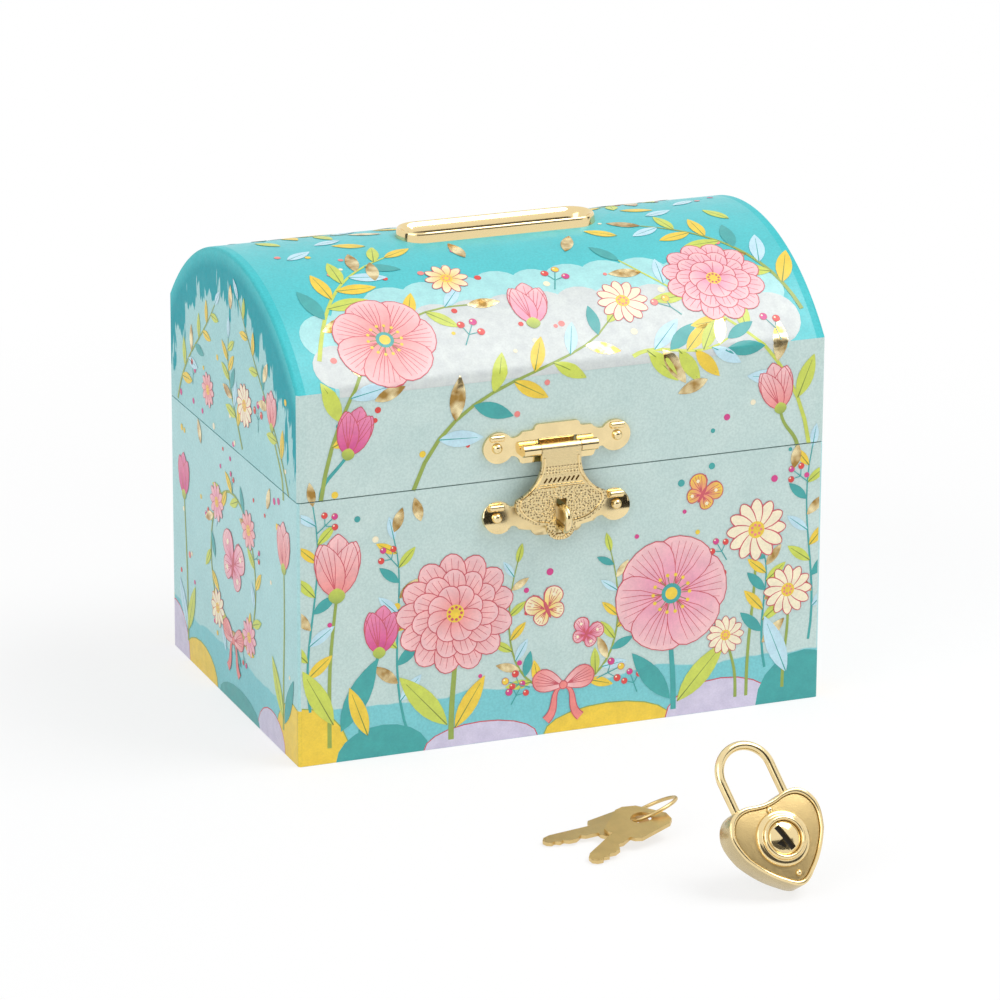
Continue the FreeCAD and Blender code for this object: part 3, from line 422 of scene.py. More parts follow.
def thicken(bm, by):
    """Give a thin sheet its thickness, in millimetres."""
    bmesh.ops.solidify(bm, geom=bm.faces[:], thickness=by * MM)


def copied(node):
    """Mesh of a CAD node with its doubles merged."""
    bm = bmesh.new()
    bm.from_mesh(NODES[node].data)
    bmesh.ops.remove_doubles(bm, verts=bm.verts[:], dist=1e-6)
    return bm


def tinted(bm, known, kind):
    """Give the faces that aren't yet known the finish of this number."""
    for face in set(bm.faces) - known:
        face.material_index = kind


def strip(bm, frames):
    """Band of faces drawn through frames, each with its edge from -1 to 1 along its own Y."""
    edges = [bm.edges.new([bm.verts.new(frames[0] @ Vector((0, side, 0))) for side in (-1, 1)])]
    faces = []
    for a, b in zip(frames, frames[1:]):
        fresh, edges = swell(bm, edges)
        bmesh.ops.transform(bm, matrix=b @ a.inverted(), verts=fresh)
        faces += edges[0].link_faces[:]
    return faces


class PrintSheet:
    """Flat artwork in millimetres, x across and y up the sheet, inked in layers."""

    def __init__(self):
        self.turned = None
        self.count = 0
        self.sheet = bmesh.new()
        self.sheet.loops.layers.float_color.new("ink")
        self.fresh()

    def fresh(self):
        """Start a new batch of shapes, small enough to work on quickly."""
        self.bm = bmesh.new()
        self.tint = self.bm.loops.layers.float_color.new("ink")

    def lift(self, layer):
        """Height of the next shape, so that no two shapes of a motif lie in one plane."""
        self.count += 1
        return layer * INK_STEP + self.count * INK_SKIN

    def lay(self):
        """Add the batch to the sheet, turned if the artwork is."""
        if self.turned:
            carry(self.bm, self.turned)
        mesh = bpy.data.meshes.new("batch")
        self.bm.to_mesh(mesh)
        self.bm.free()
        self.sheet.from_mesh(mesh)
        bpy.data.meshes.remove(mesh)
        self.fresh()

    def paint(self, faces, shades, foil=False):
        for face in faces:
            face.material_index = int(foil)
            for loop in face.loops:
                loop[self.tint] = (*shades[loop.vert], 1.0)

    def blade(self, at, turn, long, wide, colour, tip, point, full, layer, foil=False):
        """Petal or leaf that grows from a point; point sharpens its ends and full swells its far half."""
        if len(self.bm.faces) > 60:
            self.lay()
        made = bmesh.ops.create_circle(self.bm, cap_ends=True, segments=20, radius=0.5)["verts"]
        shades = {}
        for v in made:
            t = v.co.x + 0.5
            v.co.y *= wide * max(0.0, 4 * t * (1 - t)) ** point * (1 + full * (2 * t - 1))
            v.co.x = t * long
            shades[v] = ink(colour).lerp(ink(tip or colour), t)
        spot = Matrix.Translation((at[0], at[1], self.lift(layer)))
        spot @= Matrix.Rotation(math.radians(turn), 4, "Z")
        bmesh.ops.transform(self.bm, matrix=spot, verts=made)
        self.paint(made[0].link_faces, shades, foil)

    def dot(self, at, wide, colour, layer):
        self.blade((at[0] - wide / 2, at[1]), 0, wide, wide, colour, None, 0, 0, layer)

    def stroke(self, path, thick, colour, layer, thin=None):
        """Painted line along a path, from thick to thin."""
        last = len(path) - 1
        thin = thick if thin is None else thin
        frames = []
        up = self.lift(layer)
        for k, p in enumerate(path):
            run = path[min(k + 1, last)] - path[max(k - 1, 0)]
            turn = Matrix.Rotation(math.atan2(run.y, run.x), 4, "Z")
            half = (thick + (thin - thick) * k / last) / 2
            spot = Matrix.Translation((p[0], p[1], up))
            frames.append(spot @ turn @ Matrix.Diagonal((1, half, 1, 1)))
        faces = strip(self.bm, frames)
        shade = ink(colour)
        self.paint(faces, {v: shade for f in faces for v in f.verts})

    def press(self, name, place, bends, clips, shares):
        """Cut the sheet at its bends and lay it on the box, one piece for each body."""
        self.lay()
        bm = self.sheet
        bmesh.ops.triangulate(bm, faces=bm.faces[:], ngon_method="EAR_CLIP")
        for row in bends:
            slit(bm, (0, row, 0), (0, 1, 0), 1e-4)
        for co, no in clips:
            slit(bm, co, no, 1e-4, True)
        bm.normal_update()
        bmesh.ops.reverse_faces(bm, faces=[f for f in bm.faces if f.normal.z < 0])
        finishes = [bpy.data.materials.get("printed_ink") or printed_ink()]
        finishes.append(bpy.data.materials.get("gold_foil") or gold_foil())
        for body, keep in shares.items():
            part = bm.copy()
            out = [f for f in part.faces if not keep(f.calc_center_median().y)]
            bmesh.ops.delete(part, geom=out, context="FACES")
            for v in part.verts:
                v.co = place(v.co) * MM
            piece(name + "_" + body, part, finishes, body, 180)
        bm.free()


def printed_ink():
    finish = Finish("printed_ink")
    tint = finish.add("ShaderNodeAttribute", attribute_name="ink").outputs["Color"]
    wash = finish.mix(finish.drift(2.6, 4.0), (0.9, 0.9, 0.92), (1.05, 1.05, 1.04))
    fleck = finish.reach(finish.noise(0.5, 2.0), 0.35, 0.65)
    grain = finish.mix(fleck, (0.955, 0.955, 0.955), (1.03, 1.03, 1.03))
    tint = finish.mix(1.0, tint, wash, "MULTIPLY")
    finish.set(Base_Color=finish.mix(1.0, tint, grain, "MULTIPLY"))
    laminated(finish)
    return finish.material


def gold_foil():
    finish = Finish("gold_foil", 0.27, 1.0)
    crinkle = finish.noise(3.4, 2.0)
    shine = finish.reach(crinkle, 0.35, 0.65)
    # Painted shine: the foil's colour follows its crinkles from brown to cream, as light and shade on
    # crinkled foil.
    finish.set(Base_Color=finish.mix(shine, linear("a88447"), linear("f6e7b8")))
    finish.relief(crinkle, 0.25)
    return finish.material


def leaf(s, at, turn, long, colour, layer=5, wide=0.36):
    """Leaf with a fine vein, or a plain one of gold foil."""
    s.blade(at, turn, long, long * wide, colour, None, 0.45, -0.12, layer, colour == "brass")
    if colour != "brass":
        line = "sea" if colour in ("sky", "sea") else "vein"
        s.stroke([aim(at), aim(at, turn, long * 0.86)], 0.32, line, layer, 0.1)


def petal(s, at, turn, long, wide, colour, tip, layer, lines=3, full=0.35, point=0.05):
    """Petal with a fine outline and fine lines that spread from its foot."""
    rim = size("fine_line")
    s.blade(aim(at, turn, -rim), turn, long + 2 * rim, wide + 2 * rim, "line", None, point, full, layer)
    s.blade(at, turn, long, wide, colour, tip, point, full, layer)
    for k in range(lines):
        lean = (k + 0.5) / lines - 0.5
        foot = aim(at, turn, long * 0.14)
        end = aim(aim(at, turn, long * (0.93 - 0.5 * lean * lean)), turn + 90, wide * 0.82 * lean)
        mid = aim(foot.lerp(end, 0.55), turn + 90, wide * 0.12 * lean)
        s.stroke([foot, mid, end], rim, "line", layer, rim * 0.5)


def fan_bloom(s, at, r, colour, tip, layer, petals=13):
    """Round bloom of three rows of petals about a dotted heart."""
    s.count = 0
    rows = ((1.0, petals, 0.0, 3), (0.74, petals - 2, 0.5, 3), (0.48, petals - 5, 0.2, 1))
    for share, count, start, lines in rows:
        for k in range(count):
            wide = 2.6 * r * share / count * 2.1
            petal(s, at, 360 * (k + start) / count + 11, r * share, wide, colour, tip, layer, lines, 0.5)
    s.dot(at, r * 0.3, "sun", layer)
    for k in range(9):
        s.dot(aim(at, 40 * k, r * 0.105), r * 0.05, "line", layer)


def windflower(s, at, r, colour, tip, layer, petals=6, turn=10):
    """Open flower of broad petals with a ring of stamens."""
    s.count = 0
    for k in range(petals):
        petal(s, at, turn + 360 * k / petals, r, r * 5.4 / petals, colour, tip, layer, 6, 0.5, 0.0)
    s.dot(at, r * 0.36, "sea", layer)
    s.dot(at, r * 0.22, "sun", layer)
    for k in range(14):
        foot, end = [aim(at, 360 * k / 14, r * share) for share in (0.16, 0.33)]
        s.stroke([foot, end], 0.18, "vein", layer)
        s.dot(end, r * 0.065, "sun", layer)


def daisy(s, at, r, layer=8, petals=12, colour="cream", tip="cream"):
    """Small flower of narrow petals about a dotted heart."""
    s.count = 0
    for k in range(petals):
        turn = 360 * k / petals
        s.blade(at, turn, r * 1.03, r * 0.44, "line", None, 0.1, 0.3, layer)
        s.blade(at, turn, r, r * 0.36, colour, tip, 0.1, 0.3, layer)
    s.dot(at, r * 0.56, "sun", layer)
    for k in range(7):
        s.dot(aim(at, 51.4 * k, r * 0.16), r * 0.1, "coral", layer)


def tulip(s, at, turn, long, colour, tip, layer=7):
    """Cup of five petals on its stem's end."""
    s.count = 0
    for lean, share, width in ((-30, 0.86, 0.36), (30, 0.86, 0.36), (0, 0.95, 0.5)):
        petal(s, at, turn + lean * 0.62, long * share, long * width, colour, tip, layer, 3, 0.1, 0.3)
    for lean in (-15, 15):
        petal(s, at, turn + lean, long * 0.84, long * 0.42, colour, tip, layer, 4, -0.1, 0.32)
    s.blade(aim(at, turn, -long * 0.1), turn, long * 0.24, long * 0.26, "olive", "lime", 0.2, 0, layer)


def sprig(s, path, colours, long, bark, thick, layer):
    """Stem with leaves to its left and right by turns, and one at its end."""
    s.count = 0
    s.stroke(path, thick, bark, layer - 1, thick * 0.4)
    for pick, k in enumerate(range(2, len(path) - 1)):
        lean = 48 if pick % 2 else -48
        reach = long * (1 - 0.35 * k / len(path))
        hue = colours[pick % len(colours)]
        leaf(s, path[k].xy, bearing(path[k], path[k + 1]) + lean, reach, hue, layer)
    hue = colours[(len(path) - 3) % len(colours)]
    leaf(s, path[-1].xy, bearing(path[-2], path[-1]), long * 0.7, hue, layer)


def berries(s, at, turn, long, colours, layer=6):
    """Spray of shiny berries on fine stalks."""
    s.count = 0
    for k, colour in enumerate(colours):
        lean = turn + 26 * (k - (len(colours) - 1) / 2)
        end = aim(at, lean, long * (0.8 + 0.2 * (k % 2)))
        s.stroke([aim(at), aim(at, turn, long * 0.45), end], 0.3, "sea", layer, 0.2)
        s.dot(end, long * 0.24 + 0.25, "line", layer)
        s.dot(end, long * 0.24, colour, layer)
        s.dot(end + Vector((-0.3, 0.35, 0)), long * 0.07, "cream", layer)


def butterfly(s, at, turn, span, colour, tip, layer=8):
    """Four lined wings with a dot on each, two feelers and a body."""
    s.count = 0
    for side in (-1, 1):
        for lean, long, wide in ((48, 0.56, 0.4), (122, 0.4, 0.32)):
            petal(s, at, turn + side * lean, span * long, span * wide, colour, tip, layer, 4, 0.45, 0.05)
            s.dot(aim(at, turn + side * lean, span * long * 0.68), span * 0.09, "cream", layer)
        head = aim(at, turn, span * 0.2)
        feeler = [head, aim(head, turn + side * 20, span * 0.2), aim(head, turn + side * 34, span * 0.34)]
        s.stroke(feeler, 0.2, "line", layer)
    s.blade(aim(at, turn, -span * 0.24), turn, span * 0.48, span * 0.1, "line", None, 0.2, 0.1, layer)


def bow(s, at, long, colour, tip, layer=9):
    """Bow with two loops and two tails."""
    s.count = 0
    for side in (-1, 1):
        turns = ((0, 0), (0.5, -0.2), (0.1, -0.7), (0.55, -1.05))
        tail = bend(*[(at[0] + side * long * a, at[1] + long * b) for a, b in turns])
        s.stroke(tail, long * 0.1, "line", layer, long * 0.3)
        s.stroke(tail, long * 0.05, colour, layer, long * 0.24)
        petal(s, at, 90 - side * 72, long, long * 0.62, tip, colour, layer, 5, 0.45, 0.1)
    s.dot(at, long * 0.28, "line", layer)
    s.dot(at, long * 0.22, colour, layer)


def hill(s, at, wide, high, colour):
    """Low hill along the foot, with a thin edge."""
    edge = {"lilac": "line", "sun": "olive"}.get(colour, "sea")
    s.blade((at, -high - 0.3), 90, 2 * high + 0.6, wide + 0.6, edge, None, 0, 0, 2)
    s.blade((at, -high), 90, 2 * high, wide, colour, None, 0, 0, 2)


def stem(s, foot, head, colour, thick, sway):
    """Bent stalk under a flower."""
    s.count = 0
    mid = (foot[0] * 0.4 + head[0] * 0.6 + sway, foot[1] * 0.5 + head[1] * 0.5)
    s.stroke(bend(foot, (foot[0], mid[1]), mid, head, 14), thick, colour, 3.6, thick * 0.7)


def scatter(s, seed, count, across, up, colours, free=None, layer=3):
    """Small dots strewn where the free test, if there is one, lets them lie."""
    s.count = 0
    chance = random.Random(seed)
    while count:
        spot = (chance.uniform(*across), chance.uniform(*up))
        if free is None or free(*spot):
            wide = size("dot_size") * chance.uniform(0.6, 1.1)
            s.dot(spot, wide, chance.choice(colours), layer)
            count -= 1


def front_print(s):
    """Meadow up the front of the box and of the lid."""
    for row in (
        (-69, 25, 15, "sun"), (-48, 24, 8, "sea"), (-22, 30, 5.5, "lilac"), (12, 34, 6, "sun"),
        (43, 30, 8.5, "lilac"), (66, 26, 13, "sea"),
    ):
        hill(s, *row)
    for foot, head, long, colour, tip in (
        ((-62, 4), (-60, 43), 17, "coral", "blush"), ((-54, 3), (-49, 27), 13, "magenta", "rose"),
        ((-64, 68), (-57, 79), 13, "magenta", "rose"), ((63, 66), (58, 78), 13, "coral", "blush"),
    ):
        stem(s, foot, head, "sea" if colour == "magenta" else "olive", 1.1, -1.5)
        tulip(s, head, bearing(foot, head) * 0.5 + 45, long, colour, tip)
    for row in (
        ((-61, 10), 118, 17, "lime"), ((-59, 8), 62, 20, "sea"), ((-52, 6), 110, 14, "sun"),
        ((-31, 6), 132, 19, "lime"), ((-29, 5), 58, 15, "sun"), ((29, 5), 128, 17, "sea"),
        ((31, 4), 48, 19, "lime"), ((61, 8), 112, 17, "sky"),
    ):
        leaf(s, *row, 5, 0.3)
    stem(s, (-30, 2), (-29, 34), "olive", 1.5, 1.0)
    fan_bloom(s, (-29, 35), 15.5, "coral", "blush", 8)
    stem(s, (30, 2), (29, 32), "sea", 1.5, -1.0)
    windflower(s, (29, 33), 15, "rose", "blush", 8)
    for foot, head, r in (((50, 3), (52, 47), 8), ((60, 4), (61, 30), 6.5), ((47, 3), (44, 20), 5)):
        stem(s, foot, head, "olive", 0.9, 1.2)
        daisy(s, head, r)
    for side in (-1, 1):
        path = bend((side * 1.5, 12), (side * 15, 12), (side * 17, 30), (side * 12.5, 46), 15)
        sprig(s, path, LEAVES[::side], 7.5, "olive", 0.7, 5)
        berries(s, (side * 9, 13), 90 - side * 70, 7, ("red", "sun", "magenta"))
        berries(s, (side * 16, 30), 90 - side * 55, 6, ("red", "coral"))
    for path, skip in (
        (((-67, 14), (-70, 32), (-62, 46), (-66, 67)), 0), (((67, 16), (70, 34), (63, 48), (67, 67)), 2),
        (((-41, 4), (-48, 24), (-41, 42), (-45, 56)), 2), (((55, 10), (52, 24), (57, 34), (54, 41)), 3),
    ):
        sprig(s, bend(*path, 13), LEAVES[skip:], 9, "sea", 0.7, 4)
    for at, turn in (
        ((-44, 49), 130), ((-65, 60), 40), ((66, 58), 140), ((-14, 9), 60), ((20, 8), 110), ((44, 40), 120),
    ):
        berries(s, at, turn, 6, ("red", "magenta", "red"))
    bow(s, (0, 12.5), 8.5, "coral", "blush")
    butterfly(s, (-4.5, 33), 112, 11, "sun", "cream")
    butterfly(s, (6, 25), 66, 8.5, "magenta", "blush")
    butterfly(s, (37, 58), 60, 10, "coral", "sun")
    for at, turn in (((-45, 58), 70), ((-38, 60), 105), ((62, 62), 80)):
        leaf(s, at, turn, 6.5, "brass", 5, 0.42)
    scatter(
        s, 4, 44, (-66, 66), (17, 92), ("red", "magenta", "sun", "cream", "sea", "coral"),
        lambda x, y: not (-24 < x < 19 and 50 < y < 84),
    )


def clouds(s):
    """Two rows of scalloped clouds along each side of the dome."""
    chance = random.Random(11)
    for colour, layer, drop in (("foam", 1, 0.0), ("mist", 2, 9.0)):
        level = size("cloud_row") - drop
        body = (61 - layer, (level - 9 + CREASE) / 2, level - CREASE - 5.8)
        for flip in (False, True):
            def up(v):
                return 2 * CREST - v if flip else v

            s.count = 0
            for k in range(13):
                u = -58 + 9.6 * k
                sink = 9 * (abs(u) / 58) ** 3
                s.dot((u, up(level - sink)), 12 + 4 * chance.random(), colour, layer)
            for reach, row, thick in ((42, level - 6, 6), body):
                s.stroke([Vector((u, up(row), 0)) for u in (-reach, reach)], thick, colour, layer)


def dome_print(s):
    """Clouds, boughs and blossoms over the dome, front and back."""
    clouds(s)
    for flip in (False, True):
        turned = 180 if flip else 0

        def p(u, v):
            return (-u, 2 * CREST - v) if flip else (u, v)

        for k, bough in enumerate(BOUGHS):
            hues = LEAVES[k % 4:] + LEAVES[:k % 4]
            sprig(s, bend(*[p(*q) for q in bough], 13), hues, 12.5, ("olive", "lime")[k % 2], 1.1, 6)
        windflower(s, p(-44, 108), 13, "coral", "blush", 9, 7, turned)
        fan_bloom(s, p(46, 116), 13, "rose", "blush", 9, 12)
        tulip(s, p(-5, 108), 84 + turned, 14, "rose", "blush", 9)
        daisy(s, p(20, 112), 6.5, 9)
        daisy(s, p(-22, 126), 5.5, 9, 10, "sun", "cream")
        for at, turn, hues in (
            ((-24, 104), 60, ("red", "magenta", "red")), ((34, 106), 130, ("sun", "coral")),
            ((58, 96), 100, ("red", "magenta")), ((4, 118), 70, ("magenta", "sun", "red")),
        ):
            berries(s, p(*at), turn + turned, 7.5, hues, 8)
        for at, turn, colour in (
            ((-58, 142), 30, "sky"), ((-36, 146), 160, "sun"), ((40, 147), 20, "sky"),
            ((60, 140), 120, "lime"), ((-14, 134), 100, "brass"), ((12, 132), 62, "brass"),
            ((-50, 92), 20, "brass"), ((38, 88), 200, "brass"), ((28, 137), 150, "sun"),
            ((-40, 128), 80, "brass"),
        ):
            leaf(s, p(*at), turn + turned, 8.5, colour, 6, 0.38)
        rows = sorted(p(0, v)[1] for v in (97, 146))
        hues = ("cream", "magenta", "sun", "red", "coral", "cream")
        scatter(s, 8 + flip, 40, (-64, 64), rows, hues, None, 4)


def back_print(s):
    """Sparser meadow on the back, clear of the winding key and the hinge; drawn upright, then turned."""
    s.lay()
    s.turned = Matrix.Translation((0, BACK_CREASE + CREASE, 0)) @ Matrix.Rotation(math.pi, 4, "Z")
    for row in (
        (-60, 30, 12, "lilac"), (-34, 26, 7, "sun"), (0, 36, 6, "sea"), (44, 30, 7, "lilac"),
        (66, 28, 14, "sun"),
    ):
        hill(s, *row)
    for foot, head, long, colour, tip in (
        ((-56, 5), (-55, 34), 14, "coral", "blush"), ((14, 4), (17, 36), 14, "rose", "blush"),
        ((60, 6), (58, 34), 13, "magenta", "rose"),
    ):
        stem(s, foot, head, "olive", 1.1, 1.5)
        tulip(s, head, 90, long, colour, tip)
    for row in (
        ((-56, 10), 118, 16, "lime"), ((-54, 8), 60, 15, "sea"), ((15, 8), 124, 15, "sun"),
        ((17, 7), 58, 16, "lime"), ((60, 9), 118, 14, "sky"),
    ):
        leaf(s, *row, 5, 0.3)
    stem(s, (-16, 3), (-15, 30), "sea", 1.3, 1.0)
    fan_bloom(s, (-15, 31), 12, "coral", "blush", 8)
    for foot, head, r in (((-36, 4), (-37, 40), 6.5), ((-30, 3), (-31, 24), 5)):
        stem(s, foot, head, "olive", 0.9, 1.0)
        daisy(s, head, r)
    butterfly(s, (36, 46), 80, 10, "sun", "cream")
    scatter(
        s, 21, 26, (-64, 64), (14, 56), ("red", "magenta", "sun", "cream", "sea"),
        lambda x, y: abs(x + WIND_X) > 14 or y > 36,
    )
    sprig(s, bend((-62, 80), (-30, 92), (10, 78), (60, 90), 17), LEAVES, 9, "olive", 0.9, 5)


def side_print(s, lead):
    """Wreath on one end of the box; lead is the side towards the front, 1 to the right."""
    def p(u, v):
        return lead * u, v

    def clear(x, y):
        return not 0.7 <= math.hypot(x / 17, (y - 36) / 20) <= 1.25

    for at, *row in (
        (44, 26, 15, "sun"), (28, 20, 8, "lilac"), (4, 30, 5, "sea"), (-26, 26, 8, "sun"),
        (-46, 22, 13, "lilac"),
    ):
        hill(s, lead * at, *row)
    turns = [2 * math.pi * k / 48 for k in range(49)]
    ring = [Vector((17 * math.cos(a), 36 + 20 * math.sin(a), 0)) for a in turns]
    s.stroke(ring, 0.7, "olive", 4)
    for k in range(0, 48, 2):
        leaf(s, ring[k].xy, 7.5 * k + 90 + (38 if k % 4 else -38), 7, LEAVES[k // 2 % 7])
    for k in range(3, 48, 9):
        berries(s, ring[k].xy, 7.5 * k, 5, ("red", "magenta"))
    for k, colour, tip in (
        (6, "coral", "blush"), (18, "rose", "blush"), (30, "cream", "cream"), (42, "rose", "blush"),
    ):
        daisy(s, ring[k].xy, 5, 8, 10, colour, tip)
    bow(s, (0, 17), 8, "coral", "blush")
    butterfly(s, (0, 37), 78, 17, "rose", "blush")
    for foot, head, long, colour, tip in (
        ((37, 6), (38, 48), 13, "coral", "blush"), ((-36, 5), (-38, 44), 12, "magenta", "rose"),
        ((38, 66), (30, 82), 10, "coral", "blush"),
    ):
        stem(s, p(*foot), p(*head), "olive", 1.0, lead)
        tulip(s, p(*head), 90, long, colour, tip)
    for at, *row in (
        ((37, 9), 120, 16, "lime"), ((38, 8), 64, 15, "sea"), ((-36, 8), 116, 14, "sky"),
        ((-36, 8), 66, 15, "lime"),
    ):
        leaf(s, p(*at), *row, 5, 0.28)
    for bough in (
        ((42, 68), (34, 84), (18, 92), (6, 108)), ((-42, 69), (-36, 84), (-24, 88), (-12, 102)),
        ((8, 70), (2, 80), (-4, 84), (-2, 96)),
    ):
        sprig(s, bend(*[p(*q) for q in bough], 12), LEAVES, 8.5, "olive", 0.8, 6)
    daisy(s, p(10, 82), 5.5)
    daisy(s, p(-18, 78), 4.5, 8, 10, "coral", "blush")
    berries(s, p(20, 78), 90, 7, ("red", "magenta", "red"))
    berries(s, p(-30, 76), 80, 6, ("magenta", "red"))
    for at, turn in (((26, 60), 70), ((-24, 62), 110), ((0, 104), 88), ((24, 92), 60)):
        leaf(s, p(*at), turn, 6.5, "brass", 7, 0.42)
    scatter(s, 30 + lead, 36, (-42, 42), (14, 92), ("red", "magenta", "sun", "cream", "coral"), clear)


def trims(half):
    """Planes that trim a print at the round corners and above the foot."""
    edge = half - CORNER
    return [((edge, 0, 0), (1, 0, 0)), ((-edge, 0, 0), (-1, 0, 0)), ((0, FOOT_TRIM, 0), (0, -1, 0))]


def grow(bm, face, first=False):
    """Extrude a face in place; the old face stays only where it closes the start of a shape."""
    grown = bmesh.ops.extrude_face_region(bm, geom=[face])["geom"]
    if not first:
        bmesh.ops.delete(bm, geom=[face], context="FACES_ONLY")
    return next(g for g in grown if isinstance(g, bmesh.types.BMFace))


def tube(bm, path, radii, sides=12, flat=1.0):
    """Closed rod grown along a path, with a radius at each point."""
    path = [Vector(p) for p in path]
    last = len(path) - 1
    turn = Vector((0, 0, 1)).rotation_difference(path[1] - path[0])
    frames = []
    for k, p in enumerate(path):
        run = (path[min(k + 1, last)] - path[max(k - 1, 0)]).normalized()
        turn = (turn @ Vector((0, 0, 1))).rotation_difference(run) @ turn
        shape = Matrix.Diagonal((radii[k], radii[k] * flat, radii[k], 1))
        frames.append(Matrix.Translation(p) @ turn.to_matrix().to_4x4() @ shape)
    made = bmesh.ops.create_circle(bm, cap_ends=True, segments=sides, radius=1, matrix=frames[0])["verts"]
    face = made[0].link_faces[0]
    for k in range(last):
        face = grow(bm, face, k == 0)
        bmesh.ops.transform(bm, matrix=frames[k + 1] @ frames[k].inverted(), verts=face.verts[:])


def whole(bm):
    """Merge doubles and turn every face outwards."""
    bmesh.ops.remove_doubles(bm, verts=bm.verts[:], dist=1e-7)
    bmesh.ops.recalc_face_normals(bm, faces=bm.faces[:])
    return bm


def metal(name, colour, rough, sway, grain=None, depth=0.004):
    """Metal with a little cloudiness and fine scratches or, with a grain, a stamped texture."""
    finish = Finish(name, rough, 1.0)
    finish.set(Base_Color=finish.tone(finish.drift(3.2, 4.0), colour, 0.92, 1.03))
    scratch = finish.noise(0.35, 3.0, SCRATCH)
    finish.set(Roughness=finish.reach(scratch, 0.3, 0.75, rough - sway, rough + sway))
    finish.relief(finish.noise(grain) if grain else scratch, depth)
    return finish.material


def rubbed_brass():
    """Brass of the lower plate, polished at its lobes and duller where the leaf rubs it."""
    finish = Finish("rubbed_brass", 0.13, 1.0)
    finish.set(Base_Color=finish.tone(finish.drift(3.2, 4.0), ink("brass"), 0.92, 1.03))
    across = finish.math("SUBTRACT", finish.axes()["X"], middle("hasp_lower_plate").x)
    aside = finish.math("ABSOLUTE", across)
    finish.set(Roughness=finish.reach(aside, 12 * MM, 16.5 * MM, 0.34, 0.13))
    finish.relief(finish.noise(0.35, 3.0, SCRATCH), 0.004)
    return finish.material


def stamped_brass():
    """Brass with a sandy, punched ground on the bell of the leaf and rows of points on its strap; painted
    shade darkens the pits and the low grains of the sand.
    """
    finish = Finish("stamped_brass", 0.26, 1.0)
    axes = finish.axes()
    flat = finish.add("ShaderNodeCombineXYZ", {"X": axes["X"], "Y": axes["Z"]}).outputs[0]

    def pits(grain, randomness, rim):
        wires = {"Vector": flat, "Scale": 1 / (grain * MM), "Randomness": randomness}
        cell = finish.add("ShaderNodeTexVoronoi", wires, voronoi_dimensions="2D").outputs["Distance"]
        return finish.reach(cell, 0.14, rim, 1.0, 0.0)

    def below(low, high, *ends):
        """Blend between two depths under the pin."""
        return finish.reach(axes["Z"], (HASP_Z - low) * MM, (HASP_Z - high) * MM, *ends)

    bell = finish.both(below(9.9, 9.6, 1.0, 0.0), pits(0.72, 0.7, 0.34))
    strap = finish.both(below(6.7, 6.6), below(4.1, 4.0, 1.0, 0.0))
    punched = finish.math("ADD", bell, finish.both(strap, pits(0.8, 0.1, 0.3)))
    sand = finish.noise(0.22, 2.0)
    # Painted shade: the sand is darker in its low grains, and the punched pits are dark brown.
    ground = finish.tone(finish.reach(sand, 0.3, 0.7), ink("brass"), 0.72, 0.98)
    finish.set(Base_Color=finish.mix(finish.both(punched, 0.8), ground, linear("4a3618")))
    finish.relief(finish.math("SUBTRACT", finish.both(sand, 0.35), punched), 0.09)
    return finish.material


def soft_finish(name, colour, rough, grain, depth, sheen=0.0, coat=0.0):
    """Matt or glazed finish with a mottled colour and a fine grain."""
    finish = Finish(name, rough)
    finish.set(Base_Color=finish.tone(finish.drift(grain * 6), colour, 0.92, 1.04))
    finish.set(Sheen_Weight=sheen, Coat_Weight=coat, Coat_Roughness=0.15)
    finish.relief(finish.noise(grain), depth)
    return finish.material


def fibrous(name, rough, grain, across, dark, pale, depth):
    """Paper or wood with a drawn-out grain."""
    finish = Finish(name, rough)
    fibre = finish.noise(grain, 4.0, (1, across, 1))
    finish.set(Base_Color=finish.mix(finish.reach(fibre, 0.3, 0.7), linear(dark), linear(pale)))
    finish.relief(fibre, depth)
    return finish.material


def polished():
    return bpy.data.materials["polished_brass"]


class BOX_OT_board(bpy.types.Operator):
    """Printed paper on the boards of the box and the lid"""

    bl_idname = "box.board"
    bl_label = "Printed boards"

    def execute(self, context):
        walls = printed_ground("wall_paper", wall_ground)
        dress(walls, "front_wall", "back_wall", "left_wall", "right_wall")
        dress(printed_ground("lid_paper", lambda f: ink("aqua")), "lid_front_strip", "lid_back_strip")
        dress(printed_ground("dome_paper", lambda f: ink("teal")), "lid_crown")
        dress(printed_ground("end_paper", end_ground, 0.06), "lid_end_left", "lid_end_right")
        plain = fibrous("inner_paper", 0.7, 0.4, 0.2, "f1dfd6", "faf0e8", 0.02)
        dress(plain, "floor_board", "divider_board", "stage_board")
        dress(fibrous("striker_wood", 0.55, 0.8, 0.15, "b98b58", "dcb888", 0.03), "lid_striker")
        return {"FINISHED"}


